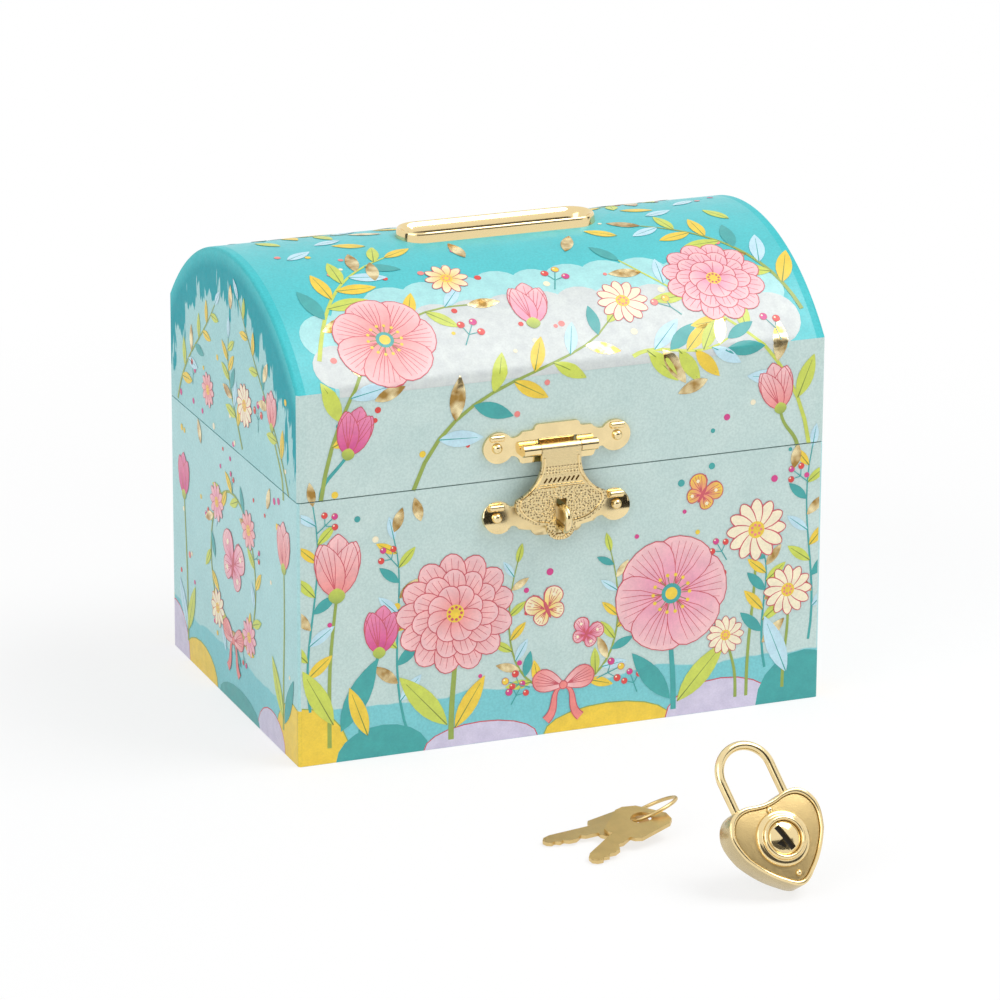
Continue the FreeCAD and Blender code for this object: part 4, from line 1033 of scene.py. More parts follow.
class BOX_OT_wrap(bpy.types.Operator):
    """Print that runs up the front, over the dome and down the back"""

    bl_idname = "box.wrap"
    bl_label = "Wrapped print"

    def execute(self, context):
        s = PrintSheet()
        front_print(s)
        dome_print(s)
        back_print(s)
        arc = BACK_CREASE - CREASE

        def place(p):
            if p.y <= CREASE:
                return Vector((p.x, -HALF_D - p.z, p.y))
            if p.y >= BACK_CREASE:
                return Vector((p.x, HALF_D + p.z, CREASE - (p.y - BACK_CREASE)))
            row = (p.y - CREASE) / arc * FACETS
            first = min(int(row + 1e-4), FACETS - 1)
            turns = [(2 * k / FACETS - 1) * SPREAD for k in (first, first + 1)]
            rise = DOME_R + p.z + 0.01
            edges = [Vector((p.x, rise * math.sin(a), DOME_Z + rise * math.cos(a))) for a in turns]
            return edges[0].lerp(edges[1], row - first)

        rows = [CREASE + arc * k / FACETS for k in range(FACETS + 1)]
        rows += [RIM, SEAM, BACK_SEAM, BACK_RIM]
        clips = trims(HALF_W) + [((0, BACK_CREASE + CREASE - FOOT_TRIM, 0), (0, 1, 0))]
        shares = {
            "base": lambda v: v < RIM or v > BACK_RIM,
            "lid": lambda v: SEAM < v < BACK_SEAM,
        }
        s.press("wrap_print", place, rows, clips, shares)
        return {"FINISHED"}


class BOX_OT_ends(bpy.types.Operator):
    """Print on the two ends of the box"""

    bl_idname = "box.ends"
    bl_label = "End prints"

    def execute(self, context):
        for name, lead in (("left_print", 1), ("right_print", -1)):
            s = PrintSheet()
            side_print(s, lead)
            shares = {"base": lambda v: v < RIM, "lid": lambda v: v > SEAM}

            def place(p):
                return Vector((-lead * (HALF_W + p.z), -lead * p.x, p.y))

            s.press(name, place, (RIM, SEAM), trims(HALF_D), shares)
        return {"FINISHED"}


class BOX_OT_brass(bpy.types.Operator):
    """Polished and satin brass of the fittings, the padlock and the keys"""

    bl_idname = "box.brass"
    bl_label = "Brass fittings"

    def execute(self, context):
        dress(
            metal("polished_brass", ink("brass"), 0.13, 0.05), "hasp_upper_plate", "hasp_upper_rivets",
            "hasp_lower_rivets", "hasp_staple", "hasp_pin", "slot_back_ring", "padlock_shackle",
            "padlock_rivets", "winding_key", "winding_bush", "turntable",
        )
        dress(stamped_brass(), "hasp_leaf")
        keys = metal("key_brass", ink("satin") * 1.15, 0.36, 0.08, 0.6, 0.015)
        dress(keys, "front_key", "rear_key", "key_ring")
        return {"FINISHED"}


class BOX_OT_ferrule(bpy.types.Operator):
    """Rolled brass ferrule whose lip runs down into the slot"""

    bl_idname = "box.ferrule"
    bl_label = "Slot ferrule"

    def execute(self, context):
        low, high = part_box("slot_ferrule")
        half, reach = 3.4, (high.x - low.x - high.y + low.y) / 2 / MM
        centre = middle("slot_ferrule") / MM
        centre.z = high.z / MM
        lip = (
            (0, -5.6), (-0.2, -3.6), (-0.2, -3.0), (-0.05, -2.5), (0.18, -2.0), (0.44, -1.55), (0.7, -1.15),
            (0.96, -0.8), (1.22, -0.5), (1.48, -0.25), (1.77, -0.07), (1.95, 0), (2.12, -0.06),
            (2.28, -0.24), (2.38, -0.46), (2.43, -0.66), (2.59, -1.7), (2.75, -2.75), (0.8, -2.8),
            (0.6, -5.6),
        )
        spots = []
        for side, start in ((1, -90), (-1, 90)):
            spots += [(side * reach, start + 180 * k / 24) for k in range(25)]
        spots.append(spots[0])
        frames = []
        for x, turn in spots:
            out = way(turn)
            axes = Matrix((out, Vector((0, 0, 1)), out.cross(Vector((0, 0, 1))))).transposed().to_4x4()
            frames.append(Matrix.Translation(centre + Vector((x, 0, 0)) + out * half) @ axes)
        bm = bmesh.new()
        ring = [bm.verts.new(frames[0] @ Vector((*q, 0))) for q in lip]
        edges = [bm.edges.new(pair) for pair in zip(ring, ring[1:] + ring[:1])]
        for a, b in zip(frames, frames[1:]):
            fresh, edges = swell(bm, edges)
            bmesh.ops.transform(bm, matrix=b @ a.inverted(), verts=fresh)
        bmesh.ops.scale(bm, verts=bm.verts[:], vec=(MM, MM, MM))
        bmesh.ops.remove_doubles(bm, verts=bm.verts[:], dist=1e-6)
        rolled = piece("ferrule_lip", whole(bm), [polished()], "lid", 60)
        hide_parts("slot_ferrule")
        return {"FINISHED"}


class BOX_OT_padlock(bpy.types.Operator):
    """Heart case with a rounded rim, sanded face with a stepped collar, and a domed plug with its keyway"""

    bl_idname = "box.padlock"
    bl_label = "Heart padlock"

    def execute(self, context):
        turns = Matrix.Rotation(PADLOCK_TILT, 4, "X") @ Matrix.Rotation(PADLOCK_LEAN, 4, "Y")
        stand = Matrix.Scale(MM, 4) @ Matrix.Translation(PADLOCK_TIP) @ turns
        rolled = metal("rolled_brass", ink("brass") * 0.7, 0.27, 0.06, 0.5, 0.012)
        sanded = metal("sanded_brass", ink("satin") * 0.94, 0.42, 0.08, 0.28, 0.05)
        # Near-black finish for the depth of the keyway: painted shade.
        shade = soft_finish("keyway_painted_shade", Vector((0.012, 0.01, 0.008)), 0.6, 0.3, 0.01)
        wide, tall, half = 24.0, 21.8, 3.7

        def outline(bm, inset, y):
            """Face of the heart at depth y, drawn in from the case's edge."""
            points = [Vector((0, 20.9, 0))]
            for a, b, c, d in (
                (2.1, 21.05, 4.2, 21.5), (9.0, 21.1, 11.75, 17.5), (11.9, 14.4, 10.7, 10.25),
                (7.5, 5.6, 3.65, 1.95), (1.7, 0.5, 0, 0),
            ):
                first, through, last = points[-1], Vector((a, b, 0)), Vector((c, d, 0))
                pull = through * 2 - (first + last) / 2
                ends = first.lerp(pull, 2 / 3), last.lerp(pull, 2 / 3)
                points += interpolate_bezier(first, *ends, last, 13)[1:]
            points += [Vector((-q.x, q.y, 0)) for q in points[-2:0:-1]]
            across, up = [(span - 2 * inset) / span for span in (wide, tall)]
            return bm.faces.new([bm.verts.new((across * q.x, y, inset + up * q.y)) for q in points])

        def moved(face, y):
            bmesh.ops.translate(bm, verts=face.verts[:], vec=(0, y - face.verts[0].co.y, 0))
            return face

        bm = bmesh.new()
        back = outline(bm, 0, half)
        front = moved(grow(bm, back, True), -half)
        rims = list(front.edges) + list(back.edges)
        inner = grow(bm, front)
        bmesh.ops.scale(bm, verts=inner.verts[:], vec=(1 - 2.4 / wide, 1, 1 - 2.4 / tall))
        bmesh.ops.translate(bm, verts=inner.verts[:], vec=(0, 0, 1.2))
        rims += list(inner.edges)
        moved(grow(bm, inner), 1.3 - half)
        soften(bm, rims, 0.5, 4)
        whole(bm)
        for face in bm.faces:
            face.material_index = 1 if face.calc_center_median().y < -2.9 else 0
        carry(bm, stand)
        shell = piece("padlock_shell", bm, [rolled, polished()], "padlock", 50)
        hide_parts("padlock_case")

        bm = bmesh.new()
        plate = moved(grow(bm, outline(bm, 1.25, -2.4), True), -3.2)
        soften(bm, list(plate.edges), 0.25, 3)
        self.turned(bm, (
            (6.75, -3.1), (6.7, -3.5), (6.55, -3.85), (6.3, -4.02), (5.75, -4.1), (5.42, -4.1),
            (5.32, -4.2), (5.28, -4.55), (5.12, -4.88), (4.8, -5.06), (4.5, -5.06), (4.26, -4.9),
            (4.14, -4.6), (4.12, -3.1),
        ), 1)
        carry(whole(bm), stand)
        front = piece("padlock_front", bm, [sanded, polished()], "padlock", 50)
        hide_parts("padlock_face")

        bm = bmesh.new()
        self.turned(bm, (
            (4.05, -2.6), (4.05, -4.1), (3.86, -4.38), (3.3, -4.62), (2.5, -4.8), (1.6, -4.92),
            (0.8, -4.98), (0, -5.0),
        ), 0)
        keyway = [(-0.75, -3.2), (0.75, -3.2), (0.75, 3.2), (-0.75, 3.2)]
        notch = [(-0.75, 0.2), (-2.65, 0.2), (-1.6, -2.0), (-0.75, -1.6)]
        for hole in (keyway, notch):
            self.pierce(bm, [Vector((a, b + PLUG_UP)) for a, b in hole])
        axle = Matrix.Translation((0, 0, PLUG_UP))
        seat = Matrix.Translation((0, -3.9, PLUG_UP)) @ Matrix.Rotation(math.pi / 2, 4, "X")
        # A near-black disc behind the plug's dome, seen through the keyway: painted shade of the deep
        # keyway.
        made = bmesh.ops.create_circle(bm, cap_ends=True, segments=40, radius=4.0, matrix=seat)["verts"]
        made[0].link_faces[0].material_index = 1
        carry(bm, stand @ axle @ Matrix.Rotation(math.radians(-15), 4, "Y") @ axle.inverted())
        core = piece("padlock_core", whole(bm), [polished(), shade], "plug", 40)
        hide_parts("padlock_plug")
        return {"FINISHED"}

    def turned(self, bm, line, kind):
        """Spin a line of radii and depths about the plug's axis."""
        known = set(bm.faces)
        verts = [bm.verts.new((r, y, PLUG_UP)) for r, y in line]
        edges = [bm.edges.new(pair) for pair in zip(verts, verts[1:])]
        bmesh.ops.spin(
            bm, geom=verts + edges, cent=(0, 0, PLUG_UP), axis=(0, 1, 0), angle=2 * math.pi, steps=64,
            use_merge=True,
        )
        tinted(bm, known, kind)

    def pierce(self, bm, hole):
        """Cut a hole with straight sides through the dome, and give it walls."""
        centre = sum(hole, Vector((0, 0))) / len(hole)
        sides = []
        for a, b in zip(hole, hole[1:] + hole[:1]):
            out = Vector((b.y - a.y, a.x - b.x)).normalized()
            out = out if out.dot(a - centre) > 0 else -out
            sides.append((a, out))
            slit(bm, (a.x, 0, a.y), (out.x, 0, out.y), 1e-5)

        def inside(q, slack):
            return q.y < -4.0 and all((q.xz - a).dot(out) < slack for a, out in sides)

        out = [f for f in bm.faces if inside(f.calc_center_median(), -1e-4)]
        bmesh.ops.delete(bm, geom=out, context="FACES")
        rim = [e for e in bm.edges if len(e.link_faces) == 1 and all(inside(v.co, 1e-3) for v in e.verts)]
        fresh, _ = swell(bm, rim)
        bmesh.ops.translate(bm, verts=fresh, vec=(0, 0.9, 0))


class BOX_OT_hasp(bpy.types.Operator):
    """Stamped points, dashes and beads on the hasp's leaf, and rolled tabs on its plates"""

    bl_idname = "box.hasp"
    bl_label = "Hasp stamping"

    def execute(self, context):
        x = middle("hasp_leaf").x / MM
        bm = bmesh.new()

        def on(a, b):
            """Place on the front of the leaf, counted from the middle of its pin."""
            return Vector((x + a, LEAF_FACE, HASP_Z + b)) * MM

        def rod(ends, r):
            tube(bm, ends, [r * MM] * len(ends), 8)

        for side in (-1, 1):
            path = [on(side * a, b) for a, b in (
                (4.5, -1.9), (4.5, -4.2), (5.3, -7.0), (7.4, -9.9), (10.9, -12.5), (11.0, -14.2),
                (9.3, -16.5), (6.6, -18.2), (3.2, -18.8),
            )]
            fine = [a.lerp(b, k / 3) for a, b in zip(path, path[1:]) for k in range(3)] + path[-1:]
            inner = [(a + b * 2 + c) / 4 for a, b, c in zip(fine, fine[1:], fine[2:])]
            rod(fine[:1] + inner + fine[-1:], 0.26)
        points = []
        for z, half in ((-4.9, 3.4), (-6.0, 3.8)):
            count = int(2 * half / 0.85)
            points += [(-half + 2 * half * k / count, z) for k in range(count + 1)]
        # The eight dashes take the second finish, a dark brown brass: painted shade of stamped grooves.
        known = set(bm.faces)
        for k in range(8):
            a = -4.2 + 8.4 * k / 7
            rod([on(a - 0.4, -8.35), on(a + 0.4, -7.2)], 0.22)
        tinted(bm, known, 1)
        for z, half in ((-9.0, 5.6), (-9.6, 6.1)):
            rod([on(-half, z), on(half, z)], 0.16)
        half_at = ((-9.9, 6.0), (-12.4, 9.6), (-14.2, 9.8), (-16.5, 8.2), (-18.2, 5.4), (-18.6, 3.0))

        def half_width(z):
            for (z0, w0), (z1, w1) in zip(half_at, half_at[1:]):
                if z1 <= z <= z0:
                    return w0 + (w1 - w0) * (z - z0) / (z1 - z0)
            return 0.0

        for ray in range(-8, 9):
            for step in range(1, 15):
                a = way(90 + ray * 14.0) * (1.9 + 0.86 * step)
                b = -18.0 + a.y
                if a.x ** 2 > 4.4 or b > -12.8:
                    if abs(a.x) < half_width(b) - 0.5 and b < -10.2:
                        points.append((a.x, b))
        r = size("stipple") / 2 * MM
        for a, b in points:
            spot = Matrix.Translation(on(a, b)) @ Matrix.Diagonal((1, 0.6, 1, 1))
            bmesh.ops.create_icosphere(bm, subdivisions=1, radius=r, matrix=spot)
        for k in range(11):
            a = way(196 + 14.8 * k)
            rod([on(a.x * 2.3, -20.6 + a.y * 2.0), on(a.x * 2.95, -20.6 + a.y * 2.65)], 0.27)
        self.lower_plate()
        # Dark brown brass of the dashes: painted shade.
        dash_shade = metal("dash_shade_brass", linear("5a4320"), 0.4, 0.08, 0.3, 0.02)
        piece("hasp_stamping", whole(bm), [polished(), dash_shade], "leaf")
        for body, plate in (("lid", "hasp_upper_rivets"), ("base", "hasp_lower_rivets")):
            a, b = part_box(plate)
            z = middle(plate).z + 2.55 * MM
            bm = bmesh.new()
            for at in (a.x + 1.35 * MM, b.x - 1.35 * MM):
                ends = [Vector((at + s * 1.9 * MM, PLATE_FACE * MM, z)) for s in (-1, -0.86, 0.86, 1)]
                tube(bm, ends, [r * MM for r in (0.55, 0.85, 0.85, 0.55)], 16)
            piece("hasp_tabs_" + body, whole(bm), [polished()], body)
        bm = bmesh.new()
        frames = []
        for y, z in ((-48.85, 2.45), (-48.45, 2.0), (-48.2, 1.3), (-48.15, 0.6), (-48.2, -0.4)):
            spot = Matrix.Translation(Vector((x, y, HASP_Z + z)) * MM)
            frames.append(spot @ Matrix.Rotation(math.pi / 2, 4, "Z") @ Matrix.Scale(4.6 * MM, 4))
        strip(bm, frames)
        thicken(bm, 0.08)
        piece("hasp_trough", whole(bm), [polished()], "lid", 60)
        return {"FINISHED"}

    def lower_plate(self):
        """Plate under the leaf, with end lobes dished so that they lean back towards their tops."""
        mid = middle("hasp_lower_plate")
        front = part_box("hasp_lower_plate")[0].y
        inner, fade, rise, depth = [span * MM for span in (9.5, 5.0, 6.0, 1.5)]
        foot = mid.z - 1.6 * MM
        bm = copied("hasp_lower_plate")
        bmesh.ops.dissolve_limit(bm, angle_limit=0.02, verts=bm.verts[:], edges=bm.edges[:])
        for k in range(25):
            slit(bm, (0, 0, foot + rise * k / 24), (0, 0, 1), 1e-7)
        for side in (-1, 1):
            for k in range(16):
                slit(bm, (mid.x + side * (inner + fade * k / 8), 0, 0), (1, 0, 0), 1e-7)
        for v in bm.verts:
            if v.co.y < front + 1e-6:
                share = ease((abs(v.co.x - mid.x) - inner) / fade)
                v.co.y += share * (ease((v.co.z - foot) / rise) - 0.5) * depth
        bmesh.ops.triangulate(bm, faces=bm.faces[:])
        plate = piece("hasp_lower_dished", whole(bm), [rubbed_brass()], "base")
        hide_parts("hasp_lower_plate")


class BOX_OT_works(bpy.types.Operator):
    """Steel and brass of the music works"""

    bl_idname = "box.works"
    bl_label = "Music works"

    def execute(self, context):
        dress(
            metal("bright_steel", ink("steel"), 0.26, 0.07, 0.5, 0.008), "winding_arbor", "mainspring",
            "cylinder_arbor", "idler_arbor", "fan_arbor", "fan", "dancer_spring", "comb", "movement_screws",
        )
        dress(
            metal("cast_plate", ink("steel") * 0.82, 0.42, 0.08, 0.9, 0.03), "movement_bedplate",
            "low_bridge", "top_bridge",
        )
        dress(
            metal("turned_brass", ink("satin"), 0.24, 0.07, 0.35, 0.01), "spring_barrel", "pin_cylinder",
            "cylinder_wheel", "idler_wheel", "stop_plunger",
        )
        return {"FINISHED"}


class BOX_OT_linings(bpy.types.Operator):
    """Flocked linings of the bay and the lid, and the felt on the stage"""

    bl_idname = "box.linings"
    bl_label = "Linings"

    def execute(self, context):
        flock = Finish("flocked_paper", 0.85)
        nap = flock.noise(0.22)
        colour = flock.tone(flock.drift(7.0), ink("velvet"), 0.86, 1.06)
        flock.set(Base_Color=flock.mix(flock.reach(nap, 0.3, 0.7), colour, ink("blush")))
        flock.set(Sheen_Weight=0.6, Sheen_Roughness=0.4)
        flock.relief(nap, 0.06)
        dress(flock.material, "storage_lining", "lid_lining")

        felt = Finish("stage_felt", 0.95)
        fluff = felt.noise(0.3, 4.0)
        colour = felt.tone(felt.drift(5.0), ink("felt"), 0.88, 1.05)
        felt.set(Base_Color=felt.mix(felt.reach(fluff, 0.35, 0.7), colour, ink("rose")))
        felt.set(Sheen_Weight=0.5, Sheen_Roughness=0.6)
        felt.relief(fluff, 0.1)
        bm = copied("stage_felt")
        low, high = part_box("stage_felt")
        upper = [e for e in bm.edges if all(v.co.z > high.z - 1e-6 for v in e.verts)]
        rim = [e for e in upper if len(e.link_faces) == 2 and e.calc_face_angle() > 1]
        soften(bm, rim, 0.2 * MM, 2)
        cloth = piece("felt_cloth", bm, [felt.material], "base")
        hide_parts("stage_felt")
        return {"FINISHED"}


class BOX_OT_cloth(bpy.types.Operator):
    """Cloth strip of the hinge and ribbon stay of the lid"""

    bl_idname = "box.cloth"
    bl_label = "Hinge strip and stay"

    def execute(self, context):
        tape = Finish("hinge_cloth", 0.8)
        thread = tape.math("ADD", tape.weave(0.5, "X"), tape.weave(0.5, "Z"))
        tape.set(Base_Color=tape.tone(tape.reach(thread, 0.4, 1.6), ink("tape"), 0.78, 1.08))
        tape.set(Sheen_Weight=0.25)
        tape.relief(thread, 0.06)
        low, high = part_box("hinge_strip")
        bm = bmesh.new()
        bmesh.ops.create_grid(bm, x_segments=60, y_segments=24, size=0.5)
        spread = Matrix((
            (high.x - low.x, 0, 0, 0), (0, 0, 0, low.y + 0.2 * MM),
            (0, high.z - low.z, 0, (low.z + high.z) / 2), (0, 0, 0, 1),
        ))
        carry(bm, spread)
        bmesh.ops.reverse_faces(bm, faces=bm.faces[:])
        thicken(bm, 0.18)
        tape_cloth = piece("hinge_cloth", whole(bm), [tape.material], None, 30)
        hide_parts("hinge_strip")
        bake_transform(tape_cloth)

        satin = Finish("ribbon_satin", 0.42)
        rib = satin.weave(0.35, "Z")
        satin.set(Base_Color=satin.tone(satin.reach(rib, 0.2, 0.8), ink("satin_ribbon"), 0.9, 1.05))
        satin.set(Sheen_Weight=0.4, Sheen_Roughness=0.3)
        satin.relief(rib, 0.03)
        foot, head = RIM - STAY_REACH, RIM + STAY_REACH
        hinge = Vector((HALF_D, RIM))
        c, d = math.cos(LID_OPEN), math.sin(LID_OPEN)
        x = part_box("stay_ribbon")[0].x / MM + 0.25

        def edge(y, t):
            """Place of an edge of the folded ribbon.
            """
            a, b = Vector((y, foot)) - hinge, Vector((y, head)) - hinge
            span = Vector((b.x * c + b.y * d, -b.x * d + b.y * c)) - a
            w = ease(t)
            z = a.y + t * (b.y - a.y)
            m, n = 1 - w + w * c, w * d
            return (span.x * (m * z - a.y) - span.y * (n * z - a.x)) / (span.y * m + span.x * n) + hinge.x

        rows = [(foot - STAY_TAIL, 0), (foot - STAY_TAIL / 2, 0)]
        rows += [(foot + (head - foot) * k / 24, k / 24) for k in range(25)]
        rows += [(head + STAY_TAIL / 2, 1), (head + STAY_TAIL, 1)]
        frames = []
        for z, t in rows:
            front, rear = edge(STAY_Y - STAY_HALF, t), edge(STAY_Y + STAY_HALF, t)
            spot = Vector((x, (front + rear) / 2, z)) * MM
            frames.append(Matrix.Translation(spot) @ Matrix.Diagonal((1, (rear - front) / 2 * MM, 1, 1)))
        bm = bmesh.new()
        strip(bm, frames)
        thicken(bm, 0.15)
        ribbon = piece("stay_satin", whole(bm), [satin.material], None, 30)
        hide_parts("stay_ribbon")
        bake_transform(ribbon)
        return {"FINISHED"}


class BOX_OT_dancer(bpy.types.Operator):
    """Small figure on one toe, in a bodice and a frilled net skirt"""

    bl_idname = "box.dancer"
    bl_label = "Dancer"

    def execute(self, context):
        toe = middle("dancer_tutu")
        toe.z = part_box("dancer_figure")[0].z
        bm = bmesh.new()

        def at(p):
            return toe + Vector(p) * MM

        def part(points, radii, kind, flat=1.0, sides=12):
            known = set(bm.faces)
            tube(bm, [at(p) for p in points], [r * MM for r in radii], sides, flat)
            tinted(bm, known, kind)

        def upright(rows, kind, *shape):
            part([(0, 0, z) for z, r in rows], [r for z, r in rows], kind, *shape)

        def ball(p, r, kind, shape=(1, 1, 1), detail=2):
            known = set(bm.faces)
            spot = Matrix.Translation(at(p)) @ Matrix.Diagonal((*shape, 1))
            bmesh.ops.create_icosphere(bm, subdivisions=detail, radius=r * MM, matrix=spot)
            tinted(bm, known, kind)

        skin, bodice, shoe, hair, lip, eye = range(6)
        upright(((0, 0.42), (0.25, 0.55), (1.2, 0.62), (2.6, 0.72)), shoe)
        upright((
            (2.3, 0.66), (4.2, 0.98), (6.5, 1.26), (9.0, 1.06), (11.0, 1.3), (13.2, 1.66), (15.8, 1.9),
        ), skin)
        upright((
            (14.9, 1.7), (15.8, 2.45), (16.9, 2.6), (18.4, 2.15), (20.2, 1.66), (22.0, 1.85), (24.0, 2.3),
            (25.4, 2.35), (26.1, 2.05),
        ), bodice, 0.8, 16)
        upright((
            (25.2, 2.1), (26.4, 1.9), (27.2, 1.25), (27.9, 0.86), (29.2, 0.82), (30.0, 0.9),
        ), skin, 0.85)
        ball((0, -0.25, 31.3), 2.3, skin, (0.9, 0.98, 1.06), 3)
        ball((0, 0.28, 31.75), 2.34, hair, (0.98, 1.0, 1.02), 3)
        ball((0, 1.1, 34.0), 1.2, hair, (1, 1, 0.9), 3)
        ball((0, 0.95, 33.35), 0.95, bodice, (1.05, 1.05, 0.3))
        ball((0, -2.52, 31.05), 0.2, skin, (0.8, 1.1, 1.3))
        for side in (-1, 1):
            ball((side * 0.78, -2.2, 31.55), 0.17, eye, (1.2, 0.5, 0.8))
            ball((side * 0.78, -2.2, 31.98), 0.16, hair, (1.7, 0.5, 0.35))
            ball((side * 1.12, -2.0, 30.75), 0.42, lip, (1, 0.2, 0.8))
            arm = [(side * x, y, z) for x, y, z in (
                (1.9, 0, 26.0), (3.6, -0.3, 27.1), (5.2, -0.75, 28.7), (5.75, -0.95, 30.9),
                (5.15, -1.0, 33.2), (3.6, -1.1, 35.8), (2.2, -1.2, 37.3), (1.35, -1.2, 38.0),
            )]
            part(arm, (0.9, 0.82, 0.74, 0.68, 0.6, 0.46, 0.5, 0.26), skin)
        ball((0, -2.42, 30.3), 0.2, lip, (1.6, 0.5, 0.7))
        leg = (
            (0.8, -0.3, 15.2), (3.0, -1.0, 14.4), (5.3, -1.7, 13.2), (6.3, -2.0, 12.5), (5.5, -1.85, 11.5),
            (3.6, -1.5, 9.6),
        )
        part(leg, (1.75, 1.6, 1.3, 1.12, 1.05, 0.85), skin)
        foot = ((3.8, -1.52, 9.8), (2.6, -1.25, 8.8), (1.5, -1.0, 8.0), (0.95, -0.9, 7.6))
        part(foot, (0.8, 0.72, 0.62, 0.36), shoe)
        finishes = [
            soft_finish("porcelain_skin", ink("skin"), 0.32, 0.8, 0.004, 0, 0.4),
            soft_finish("bodice_satin", ink("rose"), 0.36, 0.25, 0.012, 0.4),
            soft_finish("shoe_satin", ink("coral"), 0.36, 0.25, 0.012, 0.4),
            soft_finish("painted_hair", ink("hair"), 0.4, 0.18, 0.03, 0, 0.2),
            soft_finish("painted_blush", ink("coral"), 0.4, 0.3, 0.004),
            soft_finish("painted_eye", ink("hair") * 0.4, 0.25, 0.3, 0.004, 0, 0.5),
        ]
        figure = piece("dancer_porcelain", whole(bm), finishes, "cylinder", 60)
        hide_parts("dancer_figure")
        smooth = figure.modifiers.new("smooth", "SUBSURF")
        smooth.levels = smooth.render_levels = 1

        net = Finish("skirt_net", 0.7)
        mesh_hole = net.cells(0.32)
        net.set(Base_Color=net.mix(net.reach(mesh_hole, 0.15, 0.5), ink("blush"), ink("coral")))
        net.set(Sheen_Weight=0.5, Sheen_Roughness=0.3, Alpha=0.82)
        net.relief(mesh_hole, 0.05)
        centre = Vector((toe.x / MM, toe.y / MM, 0))
        level, waist, rings = toe.z / MM + 16.4, 2.35, 7
        for layer, (reach, up, waves) in enumerate(((10.7, 0.55, 17), (9.9, 0.05, 15), (9.0, -0.55, 13))):
            bm = bmesh.new()
            bmesh.ops.create_circle(bm, segments=136, radius=waist)
            edges = bm.edges[:]
            radii = [waist + (reach - waist) * k / rings for k in range(rings + 1)]
            for a, b in zip(radii, radii[1:]):
                fresh, edges = swell(bm, edges)
                bmesh.ops.scale(bm, verts=fresh, vec=(b / a, b / a, 1))
            for v in bm.verts:
                share = (v.co.xy.length - waist) / (reach - waist)
                wave = math.sin(waves * math.atan2(v.co.y, v.co.x) + layer)
                v.co.z = level + up - 0.75 * share ** 2 + size("net_frill") * share * wave
                v.co += centre
            bmesh.ops.scale(bm, verts=bm.verts[:], vec=(MM, MM, MM))
            bmesh.ops.recalc_face_normals(bm, faces=bm.faces[:])
            area = sum(f.calc_area() for f in bm.faces)
            thicken(bm, 0.06)
            frill = piece("skirt_net_%d" % (layer + 1), whole(bm), [net.material], "cylinder", 60)
            if layer == 0:
                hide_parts("dancer_tutu")
        return {"FINISHED"}


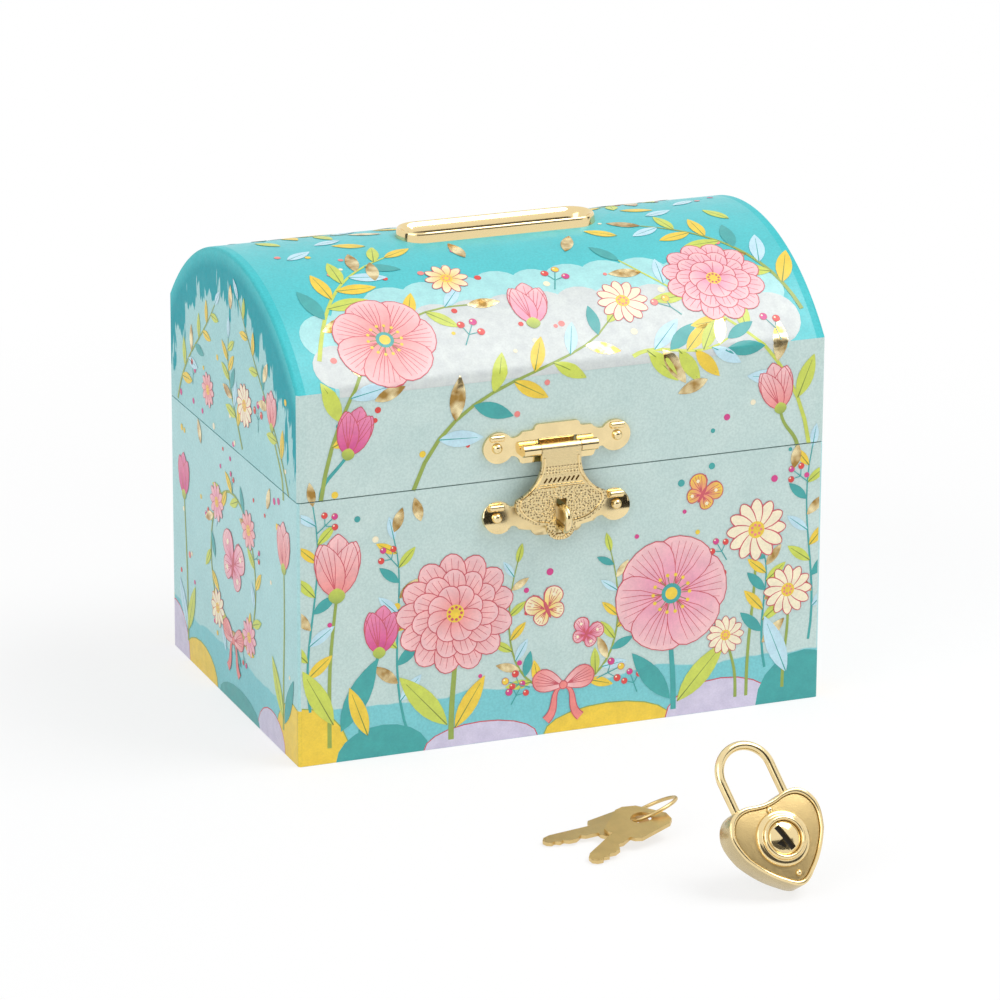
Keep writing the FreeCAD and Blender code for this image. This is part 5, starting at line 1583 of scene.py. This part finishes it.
class BOX_OT_stage(bpy.types.Operator):
    """Pale floor, soft lamps and camera"""

    bl_idname = "box.stage"
    bl_label = "Floor, lamps and camera"

    def execute(self, context):
        scene = context.scene
        scene.view_settings.view_transform = "Standard"
        floor = Finish("floor", 0.9, 0.0, 0.2)
        floor.set(Base_Color=floor.mix(floor.drift(300.0, 1.0), (0.93, 0.93, 0.935), (0.95, 0.95, 0.95)))
        away = floor.add("ShaderNodeVectorMath", {0: floor.place}, operation="LENGTH").outputs["Value"]
        share = floor.both(floor.seen(), floor.reach(away, 0.16, 0.34, 0.74, 1.0))
        glow = floor.add("ShaderNodeEmission", {"Color": (1, 1, 1, 1), "Strength": 1.0}).outputs[0]
        blend = floor.add("ShaderNodeMixShader", {0: share, 1: floor.shader.outputs[0], 2: glow}).outputs[0]
        floor.wire(blend, floor.tree.nodes["Material Output"].inputs["Surface"])
        bm = bmesh.new()
        bmesh.ops.create_grid(bm, x_segments=2, y_segments=2, size=6)
        bmesh.ops.translate(bm, verts=bm.verts[:], vec=(0, 0, -0.00005))
        piece("floor", bm, [floor.material])

        dark = Finish("dark_card", 0.9)
        dark.set(Base_Color=dark.mix(dark.drift(80.0), (0.012, 0.011, 0.01), (0.02, 0.018, 0.016)))
        for name, at, wide, high in (
            ("card_front", (0.1, -2.2, 0.95), 3.2, 1.0), ("card_left", (-2.0, -0.1, 0.5), 0.5, 1.0),
            ("card_right", (1.9, -0.5, 0.5), 0.6, 0.8),
        ):
            bm = bmesh.new()
            bmesh.ops.create_grid(bm, x_segments=2, y_segments=2, size=0.5)
            facing = (Vector((0, -0.05, 0.06)) - Vector(at)).to_track_quat("Z", "Y").to_matrix().to_4x4()
            spot = Matrix.Translation(at) @ facing @ Matrix.Diagonal((wide, high, 1, 1))
            carry(bm, spot)
            card = piece(name, bm, [dark.material])
            card.visible_camera = card.visible_diffuse = card.visible_shadow = False

        world = bpy.data.worlds.new("studio")
        scene.world = world
        world.use_nodes = True
        sky = Nodes(world.node_tree)
        light = sky.tree.nodes["Background"].inputs
        sky.wire((1, 1, 1, 1), light["Color"])
        sky.wire(sky.reach(sky.seen(), 0.0, 1.0, 0.55, 1.0), light["Strength"])

        for name, at, wide, power in (
            ("key_lamp", (0.85, -0.45, 1.65), 1.0, 18.0), ("fill_lamp", (-1.5, -0.8, 1.1), 1.3, 9.0),
        ):
            lamp = bpy.data.lights.new(name, "AREA")
            lamp.size = wide
            lamp.energy = power
            thing = bpy.data.objects.new(name, lamp)
            scene.collection.objects.link(thing)
            thing.location = at
            gaze = Vector((0, -0.02, 0.05)) - Vector(at)
            thing.rotation_euler = gaze.to_track_quat("-Z", "Y").to_euler()

        eye = bpy.data.cameras.new("camera")
        eye.lens = 200.0
        eye.sensor_width = 36.0
        eye.shift_x, eye.shift_y = 0.0073, -0.0369
        eye.clip_end = 30.0
        thing = bpy.data.objects.new("camera", eye)
        scene.collection.objects.link(thing)
        right, up = Vector((0.92915, -0.36968, 0.00444)), Vector((0.10982, 0.28745, 0.95148))
        back = right.cross(up)
        turn = Matrix((right, up, back)).transposed()
        thing.matrix_world = Matrix.Translation((-0.49904, -1.24905, 0.49094)) @ turn.to_4x4()
        scene.camera = thing
        return {"FINISHED"}


class BOX_PT_panel(bpy.types.Panel):
    """Pieces of the jewellery box"""

    bl_idname = "BOX_PT_panel"
    bl_label = "Jewellery box"
    bl_space_type = "VIEW_3D"
    bl_region_type = "UI"
    bl_category = "Jewellery Box"

    def draw(self, context):
        for operator in OPERATORS:
            self.layout.operator(operator.bl_idname)
        for group in (context.scene.box_inks, context.scene.box_sizes):
            for name in group.__annotations__:
                self.layout.prop(group, name)


OPERATORS = (
    BOX_OT_board, BOX_OT_wrap, BOX_OT_ends, BOX_OT_brass, BOX_OT_ferrule, BOX_OT_hasp, BOX_OT_padlock,
    BOX_OT_works, BOX_OT_linings, BOX_OT_cloth, BOX_OT_dancer, BOX_OT_stage,
)
CLASSES = (BoxInks, BoxSizes, *OPERATORS, BOX_PT_panel)


def register():
    for entry in CLASSES:
        bpy.utils.register_class(entry)
    bpy.types.Scene.box_inks = bpy.props.PointerProperty(type=BoxInks)
    bpy.types.Scene.box_sizes = bpy.props.PointerProperty(type=BoxSizes)


def unregister():
    del bpy.types.Scene.box_sizes
    del bpy.types.Scene.box_inks
    for entry in reversed(CLASSES):
        bpy.utils.unregister_class(entry)


def main():
    register()
    for operator in OPERATORS:
        getattr(bpy.ops.box, operator.bl_idname.split(".")[1])()


if __name__ == "__main__":
    main()
